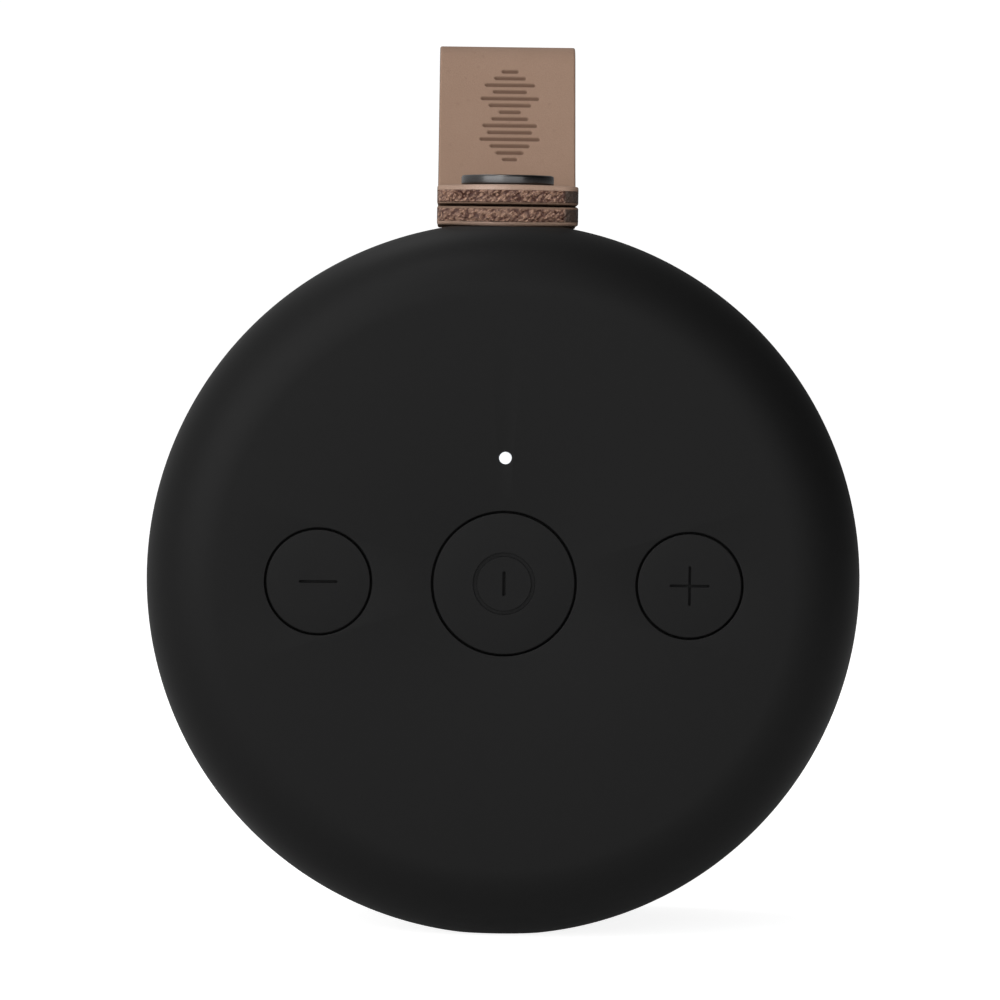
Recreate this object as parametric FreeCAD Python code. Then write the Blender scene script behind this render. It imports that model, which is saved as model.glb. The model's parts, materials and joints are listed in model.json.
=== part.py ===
import FreeCAD, Part
import math
import os
from FreeCAD import Vector

# A round portable bluetooth speaker that stands on its rim, with a leather snap loop on top.
# Millimetres. +Z is up, +Y points from the control face to the grille, +X to the volume-up side.
# Every sub-part is drawn about the axis of the disc, then lifted so that the foot rests on z = 0.

# ---- driving dimensions ----
BODY_RADIUS = 51.0
BODY_DEPTH = 47.0
WALL = 2.2
PARTING_Y = 12.0            # where the rear shell meets the front shell
PARTING_REVEAL = 0.4
FOOT_LEVEL = 50.8           # foot face below the disc axis
STRAP_WIDTH = 20.3
LEATHER = 2.8
STRAP_GAP = 0.4             # between the two stacked layers
BUTTON_SPACING = 26.16
VOLUME_BUTTON_RADIUS = 7.3
POWER_BUTTON_RADIUS = 9.95
BUTTON_GROOVE = 0.36
LIGHT_HEIGHT = 17.7         # status light above the power button

# ---- shells ----
REAR_Y = -BODY_DEPTH / 2
FRONT_Y = BODY_DEPTH / 2
INNER_RADIUS = BODY_RADIUS - WALL
REAR_INSIDE_Y = REAR_Y + WALL
REAR_CORNER = (10.5, 11.0)  # radial and axial size of the soft corner round the control face
FRONT_CORNER = (5.0, 6.5)
SPIGOT_INNER = 47.4
SPIGOT_OUTER = 48.7
SPIGOT_DEPTH = 3.0
SEAT_LEVEL = 50.35          # flat under the strap
BELLY_LEVEL = 50.55         # flat round the foot
FLAT_HALF_WIDTH = 20.0      # wider than either flat
FOOT_SIZE = (13.0, 22.0)
FOOT_THICKNESS = 1.1
FOOT_CORNER = 1.5
FOOT_POCKET_GAP = 0.1
GRILLE_RADIUS = 45.4
GRILLE_THICKNESS = 0.8
GRILLE_SEAT_Y = 21.6
GRILLE_OPENING = 43.5
GRILLE_HOLE = 1.3
GRILLE_PITCH = 4.0
CLOTH_THICKNESS = 0.4
BAFFLE_Y = (13.0, 15.2)
BAFFLE_HOLE = 27.2
BAFFLE_EDGE = 45.2          # outer end of the baffle's back, where the wall behind the lip starts
LIP_BACK_Y = 20.0
PART_GAP = 0.03             # air left between pieces that touch in the real object

# ---- buttons and status light ----
ENGRAVING = 0.3
RING_MARK = (3.8, 4.4, 0.15)        # inner radius, outer radius, depth
POWER_STROKE = (3.5, 0.7)           # length, width
MINUS_STROKE = (5.4, 0.5)
PLUS_STROKE = (5.6, 0.46)
BUTTON_ROUNDING = 0.25
FLANGE_REACH = 1.3          # how far the retaining flange stands out behind the wall
FLANGE_Y = (REAR_INSIDE_Y + 0.1, REAR_INSIDE_Y + 0.9)
STEM_RADIUS = 2.0
STEM_END_Y = -19.45
LIGHT_RADIUS = 0.85
LIGHT_FLANGE_RADIUS = 1.6
LIGHT_END_Y = -17.1
LED_SIZE = (1.6, 0.8, 1.0)

# ---- board and its parts ----
BOSS_CIRCLE = 40.4
BOSS_ANGLES = (30, 150, 270)
BOSS_RADIUS = 2.7
BOARD_Y = (-16.0, -14.4)
BOARD_RADIUS = 46.3
BOARD_HALF_HEIGHT = 25.0
BOARD_HOLE_RADIUS = 1.1
STANDOFFS = [(x, z) for x in (-17, 17) for z in (-18, 18)]
STANDOFF_RADIUS = 2.4
SWITCH_SIZE = 6.0
SWITCH_Y = (-18.6, BOARD_Y[0] - PART_GAP)
PLUNGER_RADIUS = 1.6
PLUNGER_Y = (-19.4, -17.8)
CAPACITOR_RADIUS = 2.1
CAPACITOR_HEIGHT = 3.0
CAPACITORS = [(-26, 14), (-31, 14), (-28.5, 9), (36, -10)]
SOCKET_HEIGHT = 3.4

# ---- usb port, on its own small board that stands on the main one ----
PORT_Y = -9.2
PORT_SIZE = (8.94, 3.26)
PORT_BACK_X = 41.3
PORT_MOUTH_X = 48.6
PORT_WALL = 0.3
PORT_FLOOR = 1.3
TONGUE_SIZE = (6.6, 0.7)    # width, thickness
TONGUE_SETBACK = 0.7
SEAL_WALL = 0.8
SEAL_RECESS = 0.35
PORT_BOARD_THICKNESS = 1.0
PORT_BOARD_X = (36.0, 46.5)
PORT_BOARD_HALF_HEIGHT = 7.0
HEADER_SIZE = (2.5, 10.0)

# ---- screws: head radius, head height, shank radius ----
HOUSING_SCREW = (2.4, 1.6, 1.2)
HOUSING_SCREW_TIP_Y = 3.5
BOARD_SCREW = (1.8, 1.3, 0.8)
BOARD_SCREW_TIP_Y = -19.6
CRADLE_SCREW = (2.2, 1.4, 1.1)
CRADLE_SCREW_TIP_Y = -13.5
DRIVER_SCREW = (1.9, 1.3, 0.9)
DRIVER_SCREW_TIP_Y = 11.0
THREAD_GAP = 0.05           # between a shank and its bore
HEAD_OVERLAP = 0.2          # how far a shank reaches into its head

# ---- battery ----
CELL_RADIUS = 9.1
CELL_LENGTH = 65.0
CELL_Y = -1.3
CELL_Z = -26.2
CELL_NIPPLE = (3.0, 1.5)    # radius, height
CRADLE_WALL = 1.2
CRADLE_PLAY = 0.15
CRADLE_LIP_Y = 2.0          # the cradle holds the cell up to this far in front of its axis
CRADLE_TOP = 7.5            # and up to this far above its axis
CRADLE_LUG_Y = -8.0
CRADLE_LUGS = [(-18, -41), (18, -41)]
LUG_THICKNESS = 1.6
LEAD_RADIUS = 0.5

# ---- driver ----
MAGNET_RADIUS = 16.0
FLANGE_RADIUS = 31.5
FLANGE_THICKNESS = 1.35
GASKET_THICKNESS = 0.8
DRIVER_SCREW_CIRCLE = 29.2
DRIVER_SCREW_ANGLES = (45, 135, 225, 315)
MAGNET_Y = (-4.5, 1.5)
TOP_PLATE_FRONT_Y = 4.0
YOKE_BACK_Y = -7.0
POLE_RADIUS = 8.1
COIL_RADIUS = 8.6
COIL_GAP_RADIUS = 9.7
SPEAKER_LEAD_RADIUS = 0.55

# ---- strap ----
SNAP_Y = -2.0               # axis of the snap and of the stud under it
TIP_Y = -10.8
TIP_RADIUS = 42.0
TIP_CORNER = 2.2
BASE_Z = SEAT_LEVEL + 0.1
TAB_Z = BASE_Z + LEATHER + STRAP_GAP
LIFT_AXIS = (6.2, TAB_Z + LEATHER / 2)
LIFT_CLEARANCE = 0.16       # lets the tab turn up without touching the piece behind it
BEND_AXIS = (12.5, BASE_Z + LEATHER + STRAP_GAP / 2)
BEND_CLEARANCE = 0.1
LOOP_ANGLE = 52.0           # lean of the loop above the horizontal
LOOP_LENGTH = 24.0
LOOP_EYE_RADIUS = 2.8
LOOP_HALF_ANGLE = 8.4
STACK_HALF = LEATHER + STRAP_GAP / 2
BIG = 60.0                  # longer than anything it cuts

# ---- snap and its anchor ----
INSERT_RADIUS = 3.0
INSERT_BASE_Z = 44.5
STUD_SHANK_RADIUS = 1.5
STUD_FLANGE = (4.2, 0.5)    # radius, thickness
STUD_NECK_RADIUS = 1.7
STUD_HEAD_RADIUS = 2.15
STUD_HEAD_Z = (TAB_Z + 0.6, TAB_Z + 1.5)
CAP_RADIUS = 6.7
CAP_HEIGHT = 1.5
CAP_SHANK_RADIUS = 1.2
SOCKET_RADIUS = 5.0
SOCKET_BORE = 2.55
SOCKET_Z = (0.15, 1.95)
SOCKET_ROOF = 0.4


# ---- drawing helpers ----
def spun(start, *steps):
    """Turn a (radius, y) outline about the disc axis; a step of four numbers is a curved corner."""
    edges = []
    here = Vector(start[0], start[1], 0)
    for step in steps + (start,):
        there = Vector(step[-2], step[-1], 0)
        if len(step) == 4:
            curve = Part.BezierCurve()
            curve.setPoles([here, Vector(step[0], step[1], 0), there])
            curve.setWeight(2, math.sqrt(0.5))
            edges.append(curve.toShape())
        else:
            edges.append(Part.makeLine(here, there))
        here = there
    face = Part.Face(Part.Wire(edges))
    return face.revolve(Vector(), Vector(0, 1, 0), 360)


def disc(radius, y0, y1, x=0.0, z=0.0):
    return Part.makeCylinder(radius, y1 - y0, Vector(x, y0, z), Vector(0, 1, 0))


def tube(inner, outer, y0, y1):
    return disc(outer, y0, y1).cut(disc(inner, y0 - 1, y1 + 1))


def post(radius, z0, z1, y=SNAP_Y):
    return Part.makeCylinder(radius, z1 - z0, Vector(0, y, z0), Vector(0, 0, 1))


def bar(radius, x0, x1, y, z):
    return Part.makeCylinder(radius, x1 - x0, Vector(x0, y, z), Vector(1, 0, 0))


def block(x0, x1, y0, y1, z0, z1):
    return Part.makeBox(x1 - x0, y1 - y0, z1 - z0, Vector(x0, y0, z0))


def rounded_pad(half_x, half_y, z0, z1, corner):
    """A flat pad standing on z0 with its four upright edges rounded."""
    pad = block(-half_x, half_x, -half_y, half_y, z0, z1)
    upright = [edge for edge in pad.Edges if edge.BoundBox.ZLength > (z1 - z0) / 2]
    return pad.makeFillet(corner, upright)


def slot(length, width, depth_range, along_x):
    """A round-ended slot on the disc axis, lying along X or Z, cut between two y values."""
    half = (length - width) / 2
    y0, y1 = depth_range
    if along_x:
        middle = block(-half, half, y0, y1, -width / 2, width / 2)
        ends = [disc(width / 2, y0, y1, x=side * half) for side in (-1, 1)]
    else:
        middle = block(-width / 2, width / 2, y0, y1, -half, half)
        ends = [disc(width / 2, y0, y1, z=side * half) for side in (-1, 1)]
    return middle.fuse(ends).removeSplitter()


def port_outline(size, x0, x1):
    """A round-ended prism along X with the section of a USB-C opening (z length, y width)."""
    length, width = size
    half = (length - width) / 2
    middle = block(x0, x1, PORT_Y - width / 2, PORT_Y + width / 2, -half, half)
    ends = [bar(width / 2, x0, x1, PORT_Y, side * half) for side in (-1, 1)]
    return middle.fuse(ends).removeSplitter()


def grown(size, margin):
    return (size[0] + 2 * margin, size[1] + 2 * margin)


def on_circle(radius, angle):
    return (radius * math.cos(math.radians(angle)), radius * math.sin(math.radians(angle)))


def group(shapes):
    return Part.makeCompound(shapes)


def screw(size, seat_y, tip_y, x, z):
    """A screw along Y whose head stands on seat_y and whose shank ends at tip_y."""
    head_radius, head_height, shank_radius = size
    head = disc(head_radius, seat_y + PART_GAP, seat_y + head_height, x, z)
    shank = disc(shank_radius, tip_y, seat_y + HEAD_OVERLAP, x, z)
    recess = disc(head_radius * 0.4, seat_y + head_height * 0.5, seat_y + head_height + 1, x, z)
    return head.fuse(shank).cut(recess).removeSplitter()


def wire_lead(points, radius):
    """A round lead through the given points."""
    path = Part.BSplineCurve()
    path.interpolate([Vector(*point) for point in points])
    edge = path.toShape()
    start = edge.valueAt(edge.FirstParameter)
    section = Part.Wire(Part.makeCircle(radius, start, edge.tangentAt(edge.FirstParameter)))
    return Part.Wire(edge).makePipeShell([section], True, True)


# ---- housing ----
def flats_removed(shape):
    """Level the rim where the strap lies and where the foot is let in."""
    wide = FLAT_HALF_WIDTH
    above = block(-wide, wide, REAR_Y, FRONT_Y, SEAT_LEVEL, BODY_RADIUS + 1)
    below = block(-wide, wide, REAR_Y, FRONT_Y, -BODY_RADIUS - 1, -BELLY_LEVEL)
    half_x = FOOT_SIZE[0] / 2 + FOOT_POCKET_GAP
    half_y = FOOT_SIZE[1] / 2 + FOOT_POCKET_GAP
    pocket_top = -FOOT_LEVEL + FOOT_THICKNESS + PART_GAP
    pocket = rounded_pad(half_x, half_y, -BODY_RADIUS - 1, pocket_top, FOOT_CORNER)
    return shape.cut([above, below, pocket])


def rear_envelope(radius, rear_y, corner):
    start_y = REAR_Y + REAR_CORNER[1]
    return spun((0, rear_y), (radius - corner[0], rear_y), (radius, rear_y, radius, start_y),
                (radius, PARTING_Y), (0, PARTING_Y))


def rear_shell():
    outside = rear_envelope(BODY_RADIUS, REAR_Y, REAR_CORNER)
    inside = rear_envelope(INNER_RADIUS, REAR_INSIDE_Y, (REAR_CORNER[0] - WALL, 0))
    shell = outside.cut(inside)
    posts, bores = rear_bosses()
    envelope = outside.fuse(disc(INNER_RADIUS, PARTING_Y, BAFFLE_Y[0]))
    shell = shell.fuse([boss.common(envelope) for boss in posts])
    for x, radius in button_places():
        bores.append(disc(radius + BUTTON_GROOVE, REAR_Y - 1, REAR_INSIDE_Y + 1, x))
    light_bore = LIGHT_RADIUS + THREAD_GAP
    bores.append(disc(light_bore, REAR_Y - 1, REAR_INSIDE_Y + 1, z=LIGHT_HEIGHT))
    opening = grown(PORT_SIZE, SEAL_WALL + 0.1)
    bores.append(port_outline(opening, INNER_RADIUS - 4, BODY_RADIUS + 1))
    return flats_removed(shell.cut(bores)).removeSplitter()


def rear_bosses():
    """Screw bosses, board standoffs, cradle posts and the boss of the strap insert."""
    posts = []
    bores = []
    for angle in BOSS_ANGLES:
        x, z = on_circle(BOSS_CIRCLE, angle)
        posts.append(disc(BOSS_RADIUS, REAR_Y, BAFFLE_Y[0] - PART_GAP, x, z))
        bores.append(disc(HOUSING_SCREW[2] + THREAD_GAP, 2.0, BAFFLE_Y[0], x, z))
    for x, z in STANDOFFS:
        posts.append(disc(STANDOFF_RADIUS, REAR_Y, BOARD_Y[0] - PART_GAP, x, z))
        bores.append(disc(BOARD_SCREW[2] + THREAD_GAP, REAR_INSIDE_Y + 0.5, BOARD_Y[0], x, z))
    for x, z in CRADLE_LUGS:
        posts.append(disc(STANDOFF_RADIUS, REAR_Y, CRADLE_LUG_Y - PART_GAP, x, z))
        bores.append(disc(CRADLE_SCREW[2] + THREAD_GAP, -14.0, CRADLE_LUG_Y, x, z))
    posts.append(post(INSERT_RADIUS + 2, INSERT_BASE_Z - 0.9, INNER_RADIUS + 1))
    bores.append(post(INSERT_RADIUS + THREAD_GAP, INSERT_BASE_Z - 0.1, BODY_RADIUS + 1))
    return posts, bores


def front_shell():
    opening = GRILLE_RADIUS + 0.1
    corner_start = BODY_RADIUS - FRONT_CORNER[0]
    wall_start = PARTING_Y + PARTING_REVEAL
    shell = spun(
        (BAFFLE_HOLE, BAFFLE_Y[0]), (BAFFLE_HOLE, BAFFLE_Y[1]), (GRILLE_OPENING, BAFFLE_Y[1]),
        (GRILLE_OPENING, GRILLE_SEAT_Y), (opening, GRILLE_SEAT_Y), (opening, FRONT_Y),
        (corner_start, FRONT_Y),
        (BODY_RADIUS, FRONT_Y, BODY_RADIUS, FRONT_Y - FRONT_CORNER[1]),
        (BODY_RADIUS, wall_start), (SPIGOT_OUTER, wall_start),
        (SPIGOT_OUTER, wall_start - SPIGOT_DEPTH), (SPIGOT_INNER, wall_start - SPIGOT_DEPTH),
        (SPIGOT_INNER, LIP_BACK_Y), (BAFFLE_EDGE, LIP_BACK_Y), (BAFFLE_EDGE, BAFFLE_Y[0]))
    through = (BAFFLE_Y[0] - 1, BAFFLE_Y[1] + 1)
    bores = []
    for angle in BOSS_ANGLES:
        bores.append(disc(HOUSING_SCREW[2] + 0.2, *through, *on_circle(BOSS_CIRCLE, angle)))
    for angle in DRIVER_SCREW_ANGLES:
        place = on_circle(DRIVER_SCREW_CIRCLE, angle)
        bores.append(disc(DRIVER_SCREW[2] + THREAD_GAP, *through, *place))
    return flats_removed(shell.cut(bores)).removeSplitter()


def shell_seal():
    ring = tube(INNER_RADIUS + 0.1, BODY_RADIUS - 0.8, PARTING_Y + PART_GAP,
                PARTING_Y + PARTING_REVEAL - PART_GAP)
    foot_room = block(-8, 8, 0, 20, -BODY_RADIUS, -FOOT_LEVEL + FOOT_THICKNESS)
    return ring.cut(foot_room)


def housing_screws():
    places = [on_circle(BOSS_CIRCLE, angle) for angle in BOSS_ANGLES]
    return group([screw(HOUSING_SCREW, BAFFLE_Y[1], HOUSING_SCREW_TIP_Y, *place)
                  for place in places])


def resting_foot():
    half_x = FOOT_SIZE[0] / 2
    half_y = FOOT_SIZE[1] / 2
    top = -FOOT_LEVEL + FOOT_THICKNESS
    return rounded_pad(half_x, half_y, -FOOT_LEVEL, top, FOOT_CORNER)


def front_grille():
    sheet_y = GRILLE_SEAT_Y + PART_GAP
    normal = Vector(0, 1, 0)
    wires = [Part.Wire(Part.makeCircle(GRILLE_RADIUS, Vector(0, sheet_y, 0), normal))]
    rows = int(GRILLE_OPENING / (GRILLE_PITCH * math.sqrt(0.75)))
    for row in range(-rows, rows + 1):
        z = row * GRILLE_PITCH * math.sqrt(0.75)
        shift = GRILLE_PITCH / 2 if row % 2 else 0
        for column in range(-rows, rows + 1):
            x = column * GRILLE_PITCH + shift
            if math.hypot(x, z) < GRILLE_OPENING - GRILLE_HOLE - 1:
                circle = Part.makeCircle(GRILLE_HOLE, Vector(x, sheet_y, z), normal)
                wires.append(Part.Wire(circle))
    sheet = Part.makeFace(wires, "Part::FaceMakerBullseye")
    return sheet.extrude(Vector(0, GRILLE_THICKNESS, 0))


def grille_cloth():
    return disc(GRILLE_OPENING - 0.1, GRILLE_SEAT_Y - CLOTH_THICKNESS, GRILLE_SEAT_Y)


def port_seal():
    outside = grown(PORT_SIZE, SEAL_WALL)
    sleeve = port_outline(outside, PORT_MOUTH_X + PART_GAP, BODY_RADIUS - SEAL_RECESS)
    return sleeve.cut(port_outline(grown(PORT_SIZE, 0.1), PORT_MOUTH_X - 1, BODY_RADIUS + 1))


# ---- buttons and light ----
def button_places():
    return [(-BUTTON_SPACING, VOLUME_BUTTON_RADIUS), (0.0, POWER_BUTTON_RADIUS),
            (BUTTON_SPACING, VOLUME_BUTTON_RADIUS)]


def button(x, radius, marks):
    """A flush key: face, retaining flange behind the wall and a stem over its switch."""
    face = spun((0, REAR_Y), (radius - BUTTON_ROUNDING, REAR_Y),
                (radius, REAR_Y, radius, REAR_Y + BUTTON_ROUNDING),
                (radius, FLANGE_Y[0]), (radius + FLANGE_REACH, FLANGE_Y[0]),
                (radius + FLANGE_REACH, FLANGE_Y[1]), (STEM_RADIUS, FLANGE_Y[1]),
                (STEM_RADIUS, STEM_END_Y), (0, STEM_END_Y))
    key = face.cut(marks)
    key.translate(Vector(x, 0, 0))
    return key


def engraved(stroke, along_x):
    return slot(*stroke, (REAR_Y - 1, REAR_Y + ENGRAVING), along_x)


def volume_down_button():
    return button(-BUTTON_SPACING, VOLUME_BUTTON_RADIUS, [engraved(MINUS_STROKE, True)])


def volume_up_button():
    plus = engraved(PLUS_STROKE, True).fuse(engraved(PLUS_STROKE, False))
    return button(BUTTON_SPACING, VOLUME_BUTTON_RADIUS, [plus])


def power_button():
    inner, outer, depth = RING_MARK
    ring = tube(inner, outer, REAR_Y - 1, REAR_Y + depth)
    return button(0.0, POWER_BUTTON_RADIUS, [ring, engraved(POWER_STROKE, False)])


def status_light_pipe():
    flange = (REAR_INSIDE_Y + 0.1, REAR_INSIDE_Y + 0.8)
    pipe = spun((0, REAR_Y), (LIGHT_RADIUS, REAR_Y), (LIGHT_RADIUS, flange[0]),
                (LIGHT_FLANGE_RADIUS, flange[0]), (LIGHT_FLANGE_RADIUS, flange[1]),
                (LIGHT_RADIUS, flange[1]), (LIGHT_RADIUS, LIGHT_END_Y), (0, LIGHT_END_Y))
    pipe.translate(Vector(0, 0, LIGHT_HEIGHT))
    return pipe


def status_led():
    width, depth, height = LED_SIZE
    back = BOARD_Y[0] - PART_GAP
    low = LIGHT_HEIGHT - height / 2
    return block(-width / 2, width / 2, back - depth, back, low, low + height)


def switch_bodies():
    half = SWITCH_SIZE / 2
    bodies = []
    for x, _ in button_places():
        box = block(x - half, x + half, *SWITCH_Y, -half, half)
        well = disc(PLUNGER_RADIUS + 0.1, SWITCH_Y[0] - 1, PLUNGER_Y[1] + 0.5, x)
        bodies.append(box.cut(well))
    return group(bodies)


def plunger(x):
    return disc(PLUNGER_RADIUS, *PLUNGER_Y, x)


# ---- circuit board ----
def main_board():
    half = BOARD_HALF_HEIGHT
    board = disc(BOARD_RADIUS, *BOARD_Y).common(block(-BIG, BIG, *BOARD_Y, -half, half))
    through = (BOARD_Y[0] - 1, BOARD_Y[1] + 1)
    holes = [disc(BOARD_HOLE_RADIUS, *through, x, z) for x, z in STANDOFFS]
    for angle in BOSS_ANGLES:
        holes.append(disc(BOSS_RADIUS + 0.6, *through, *on_circle(BOSS_CIRCLE, angle)))
    return board.cut(holes)


def board_screws():
    return group([screw(BOARD_SCREW, BOARD_Y[1], BOARD_SCREW_TIP_Y, x, z) for x, z in STANDOFFS])


def on_board(x0, x1, z0, z1, height):
    front = BOARD_Y[1] + PART_GAP
    return block(x0, x1, front, front + height, z0, z1)


def bluetooth_module():
    """The radio board under its tinned shield, with the bare aerial end towards the left."""
    board = on_board(-13, 2, 5, 17, 0.8)
    shield = on_board(-8.5, 1.5, 5.5, 16.5, 2.2)
    return board.fuse(shield).removeSplitter()


def amplifier_chip():
    return on_board(24, 31, 8, 15, 1.0)


def board_capacitors():
    front = BOARD_Y[1] + PART_GAP
    return group([disc(CAPACITOR_RADIUS, front, front + CAPACITOR_HEIGHT, x, z)
                  for x, z in CAPACITORS])


def board_sockets():
    speaker = on_board(-3.2, 3.2, 20, 24.4, SOCKET_HEIGHT)
    battery = on_board(23, 29.4, -19.2, -14.8, SOCKET_HEIGHT)
    return group([speaker, battery])


def port_board_y():
    front = PORT_Y - PORT_SIZE[1] / 2 - PART_GAP
    return front - PORT_BOARD_THICKNESS, front


def port_board():
    half = PORT_BOARD_HALF_HEIGHT
    return block(*PORT_BOARD_X, *port_board_y(), -half, half)


def port_header():
    """The pin strip that carries the port board on the main board."""
    width, length = HEADER_SIZE
    x0 = PORT_BOARD_X[0] + 0.5
    return block(x0, x0 + width, BOARD_Y[1] + PART_GAP, port_board_y()[0] - PART_GAP,
                 -length / 2, length / 2)


def usb_receptacle():
    mouth = port_outline(PORT_SIZE, PORT_BACK_X, PORT_MOUTH_X)
    inside = grown(PORT_SIZE, -PORT_WALL)
    return mouth.cut(port_outline(inside, PORT_BACK_X + PORT_FLOOR, PORT_MOUTH_X + 1))


def usb_tongue():
    width, thickness = TONGUE_SIZE
    return block(PORT_BACK_X + PORT_FLOOR + PART_GAP, PORT_MOUTH_X - TONGUE_SETBACK,
                 PORT_Y - thickness / 2, PORT_Y + thickness / 2, -width / 2, width / 2)


# ---- battery ----
def battery_cell():
    half = CELL_LENGTH / 2
    nipple_radius, nipple_height = CELL_NIPPLE
    can = bar(CELL_RADIUS, -half, half - nipple_height, CELL_Y, CELL_Z)
    nipple = bar(nipple_radius, half - nipple_height - 0.1, half, CELL_Y, CELL_Z)
    return can.fuse(nipple).removeSplitter()


def battery_cradle():
    inner = CELL_RADIUS + CRADLE_PLAY
    half = CELL_LENGTH / 2 + 0.1
    trough = bar(inner + CRADLE_WALL, -half - 1, half + 1, CELL_Y, CELL_Z)
    open_front = block(-BIG, BIG, CELL_Y + CRADLE_LIP_Y, BIG, -BIG, 0)
    open_top = block(-BIG, BIG, -BIG, BIG, CELL_Z + CRADLE_TOP, 0)
    lead_notch = block(half - 0.5, half + 2, CELL_Y - 1, BIG, CELL_Z - 2, CELL_Z + 8)
    lugs = []
    holes = []
    for x, z in CRADLE_LUGS:
        lug_y = (CRADLE_LUG_Y, CRADLE_LUG_Y + LUG_THICKNESS)
        lugs.append(block(x - 3, x + 3, *lug_y, z - 2.4, CELL_Z - 5))
        holes.append(disc(CRADLE_SCREW[2] + 0.2, CRADLE_LUG_Y - 1, 0, x, z))
    cradle = trough.fuse(lugs)
    cradle = cradle.cut([bar(inner, -half, half, CELL_Y, CELL_Z), open_front, open_top, lead_notch])
    return cradle.cut(holes).common(disc(INNER_RADIUS - 0.5, -BIG, BIG)).removeSplitter()


def cradle_screws():
    seat = CRADLE_LUG_Y + LUG_THICKNESS
    return group([screw(CRADLE_SCREW, seat, CRADLE_SCREW_TIP_Y, x, z) for x, z in CRADLE_LUGS])


def battery_leads():
    leads = []
    for offset in (0.0, 1.5):
        leads.append(wire_lead([
            (34.2, 2.0, -25.0 + offset), (37.0, -1.0, -21.5 + offset),
            (34.4, -5.6, -17.6 + offset), (28.6, -7.4, -17.2 + offset),
            (26.2, -9.0, -17.2 + offset), (26.2, -10.4, -17.2 + offset)], LEAD_RADIUS))
    return group(leads)


# ---- driver ----
def driver_screw_places():
    return [on_circle(DRIVER_SCREW_CIRCLE, angle) for angle in DRIVER_SCREW_ANGLES]


def driver_gasket():
    seat_y = BAFFLE_Y[1] + PART_GAP
    ring = tube(BAFFLE_HOLE + 0.1, FLANGE_RADIUS, seat_y, BAFFLE_Y[1] + GASKET_THICKNESS)
    return ring.cut([disc(DRIVER_SCREW[2] + 0.4, 10, 20, *place)
                     for place in driver_screw_places()])


def driver_frame():
    """Pressed basket: a ring behind, a sloping wall with windows and the screw flange."""
    back = BAFFLE_Y[1] + GASKET_THICKNESS + PART_GAP
    front = back + FLANGE_THICKNESS
    seat = TOP_PLATE_FRONT_Y + PART_GAP
    basket = spun(
        (10.5, seat), (17.4, seat), (17.4, 8.6), (26.6, 15.6), (26.6, back),
        (FLANGE_RADIUS, back), (FLANGE_RADIUS, front), (24.6, front),
        (24.6, 16.2), (16.2, 9.4), (16.2, 5.2), (10.5, 5.2))
    windows = []
    for angle in DRIVER_SCREW_ANGLES:
        window = block(12, 30, 6.2, 13.6, -7.5, 7.5)
        window.rotate(Vector(), Vector(0, 1, 0), angle)
        windows.append(window)
    holes = [disc(DRIVER_SCREW[2] + 0.3, 10, 20, *place) for place in driver_screw_places()]
    return basket.cut(windows + holes)


def driver_screws():
    seat = BAFFLE_Y[1] + GASKET_THICKNESS + FLANGE_THICKNESS + PART_GAP
    return group([screw(DRIVER_SCREW, seat, DRIVER_SCREW_TIP_Y, *place)
                  for place in driver_screw_places()])


def driver_surround():
    low, high = 17.45, 17.85
    return spun(
        (19.6, low), (21.1, low), (21.1, 19.15, 22.8, 19.15), (24.5, 19.15, 24.5, low),
        (26.8, low), (26.8, high), (24.9, high), (24.9, 19.55, 22.8, 19.55),
        (20.7, 19.55, 20.7, high), (19.6, high))


def driver_cone():
    return spun((8.85, 9.6), (9.35, 9.5), (20.6, 16.9), (20.6, 17.4), (19.9, 17.4), (8.85, 10.2))


def driver_dust_cap():
    return spun((0, 13.5), (5.5, 13.5, 9.6, 10.85), (10.1, 11.15), (6.0, 14.0, 0, 14.0))


def voice_coil_former():
    return tube(COIL_RADIUS, COIL_RADIUS + 0.2, -1.0, 10.6)


def voice_coil_winding():
    return tube(COIL_RADIUS + 0.2 + PART_GAP, COIL_RADIUS + 0.65, 0.0, 5.6)


def driver_spider():
    inner, outer, level, wave, thickness = 9.3, 16.1, 7.3, 0.5, 0.3
    steps = 9
    radii = [inner + (outer - inner) * i / steps for i in range(steps + 1)]
    lower = [(r, level + (wave if i % 2 else 0)) for i, r in enumerate(radii)]
    upper = [(r, y + thickness) for r, y in reversed(lower)]
    return spun(lower[0], *(lower[1:] + upper))


def driver_top_plate():
    return tube(COIL_GAP_RADIUS, MAGNET_RADIUS, MAGNET_Y[1], TOP_PLATE_FRONT_Y)


def driver_magnet():
    return tube(COIL_GAP_RADIUS + 0.8, MAGNET_RADIUS, MAGNET_Y[0], MAGNET_Y[1] - PART_GAP)


def driver_yoke():
    plate = disc(MAGNET_RADIUS - 0.4, YOKE_BACK_Y, MAGNET_Y[0] - PART_GAP)
    pole = disc(POLE_RADIUS, MAGNET_Y[0] - 0.5, TOP_PLATE_FRONT_Y)
    return plate.fuse(pole).removeSplitter()


def driver_terminals():
    return group([block(x - 1.2, x + 1.2, 5.4, 8.2, 17.5, 20.4) for x in (-4.5, 4.5)])


def speaker_leads():
    leads = []
    for side in (-1, 1):
        leads.append(wire_lead([
            (side * 4.5, 6.8, 21.0), (side * 5.0, 3.0, 24.0), (side * 3.4, -3.0, 25.0),
            (side * 1.6, -7.5, 23.0), (side * 1.5, -9.0, 22.4),
            (side * 1.5, -10.4, 22.3)], SPEAKER_LEAD_RADIUS))
    return group(leads)


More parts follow.
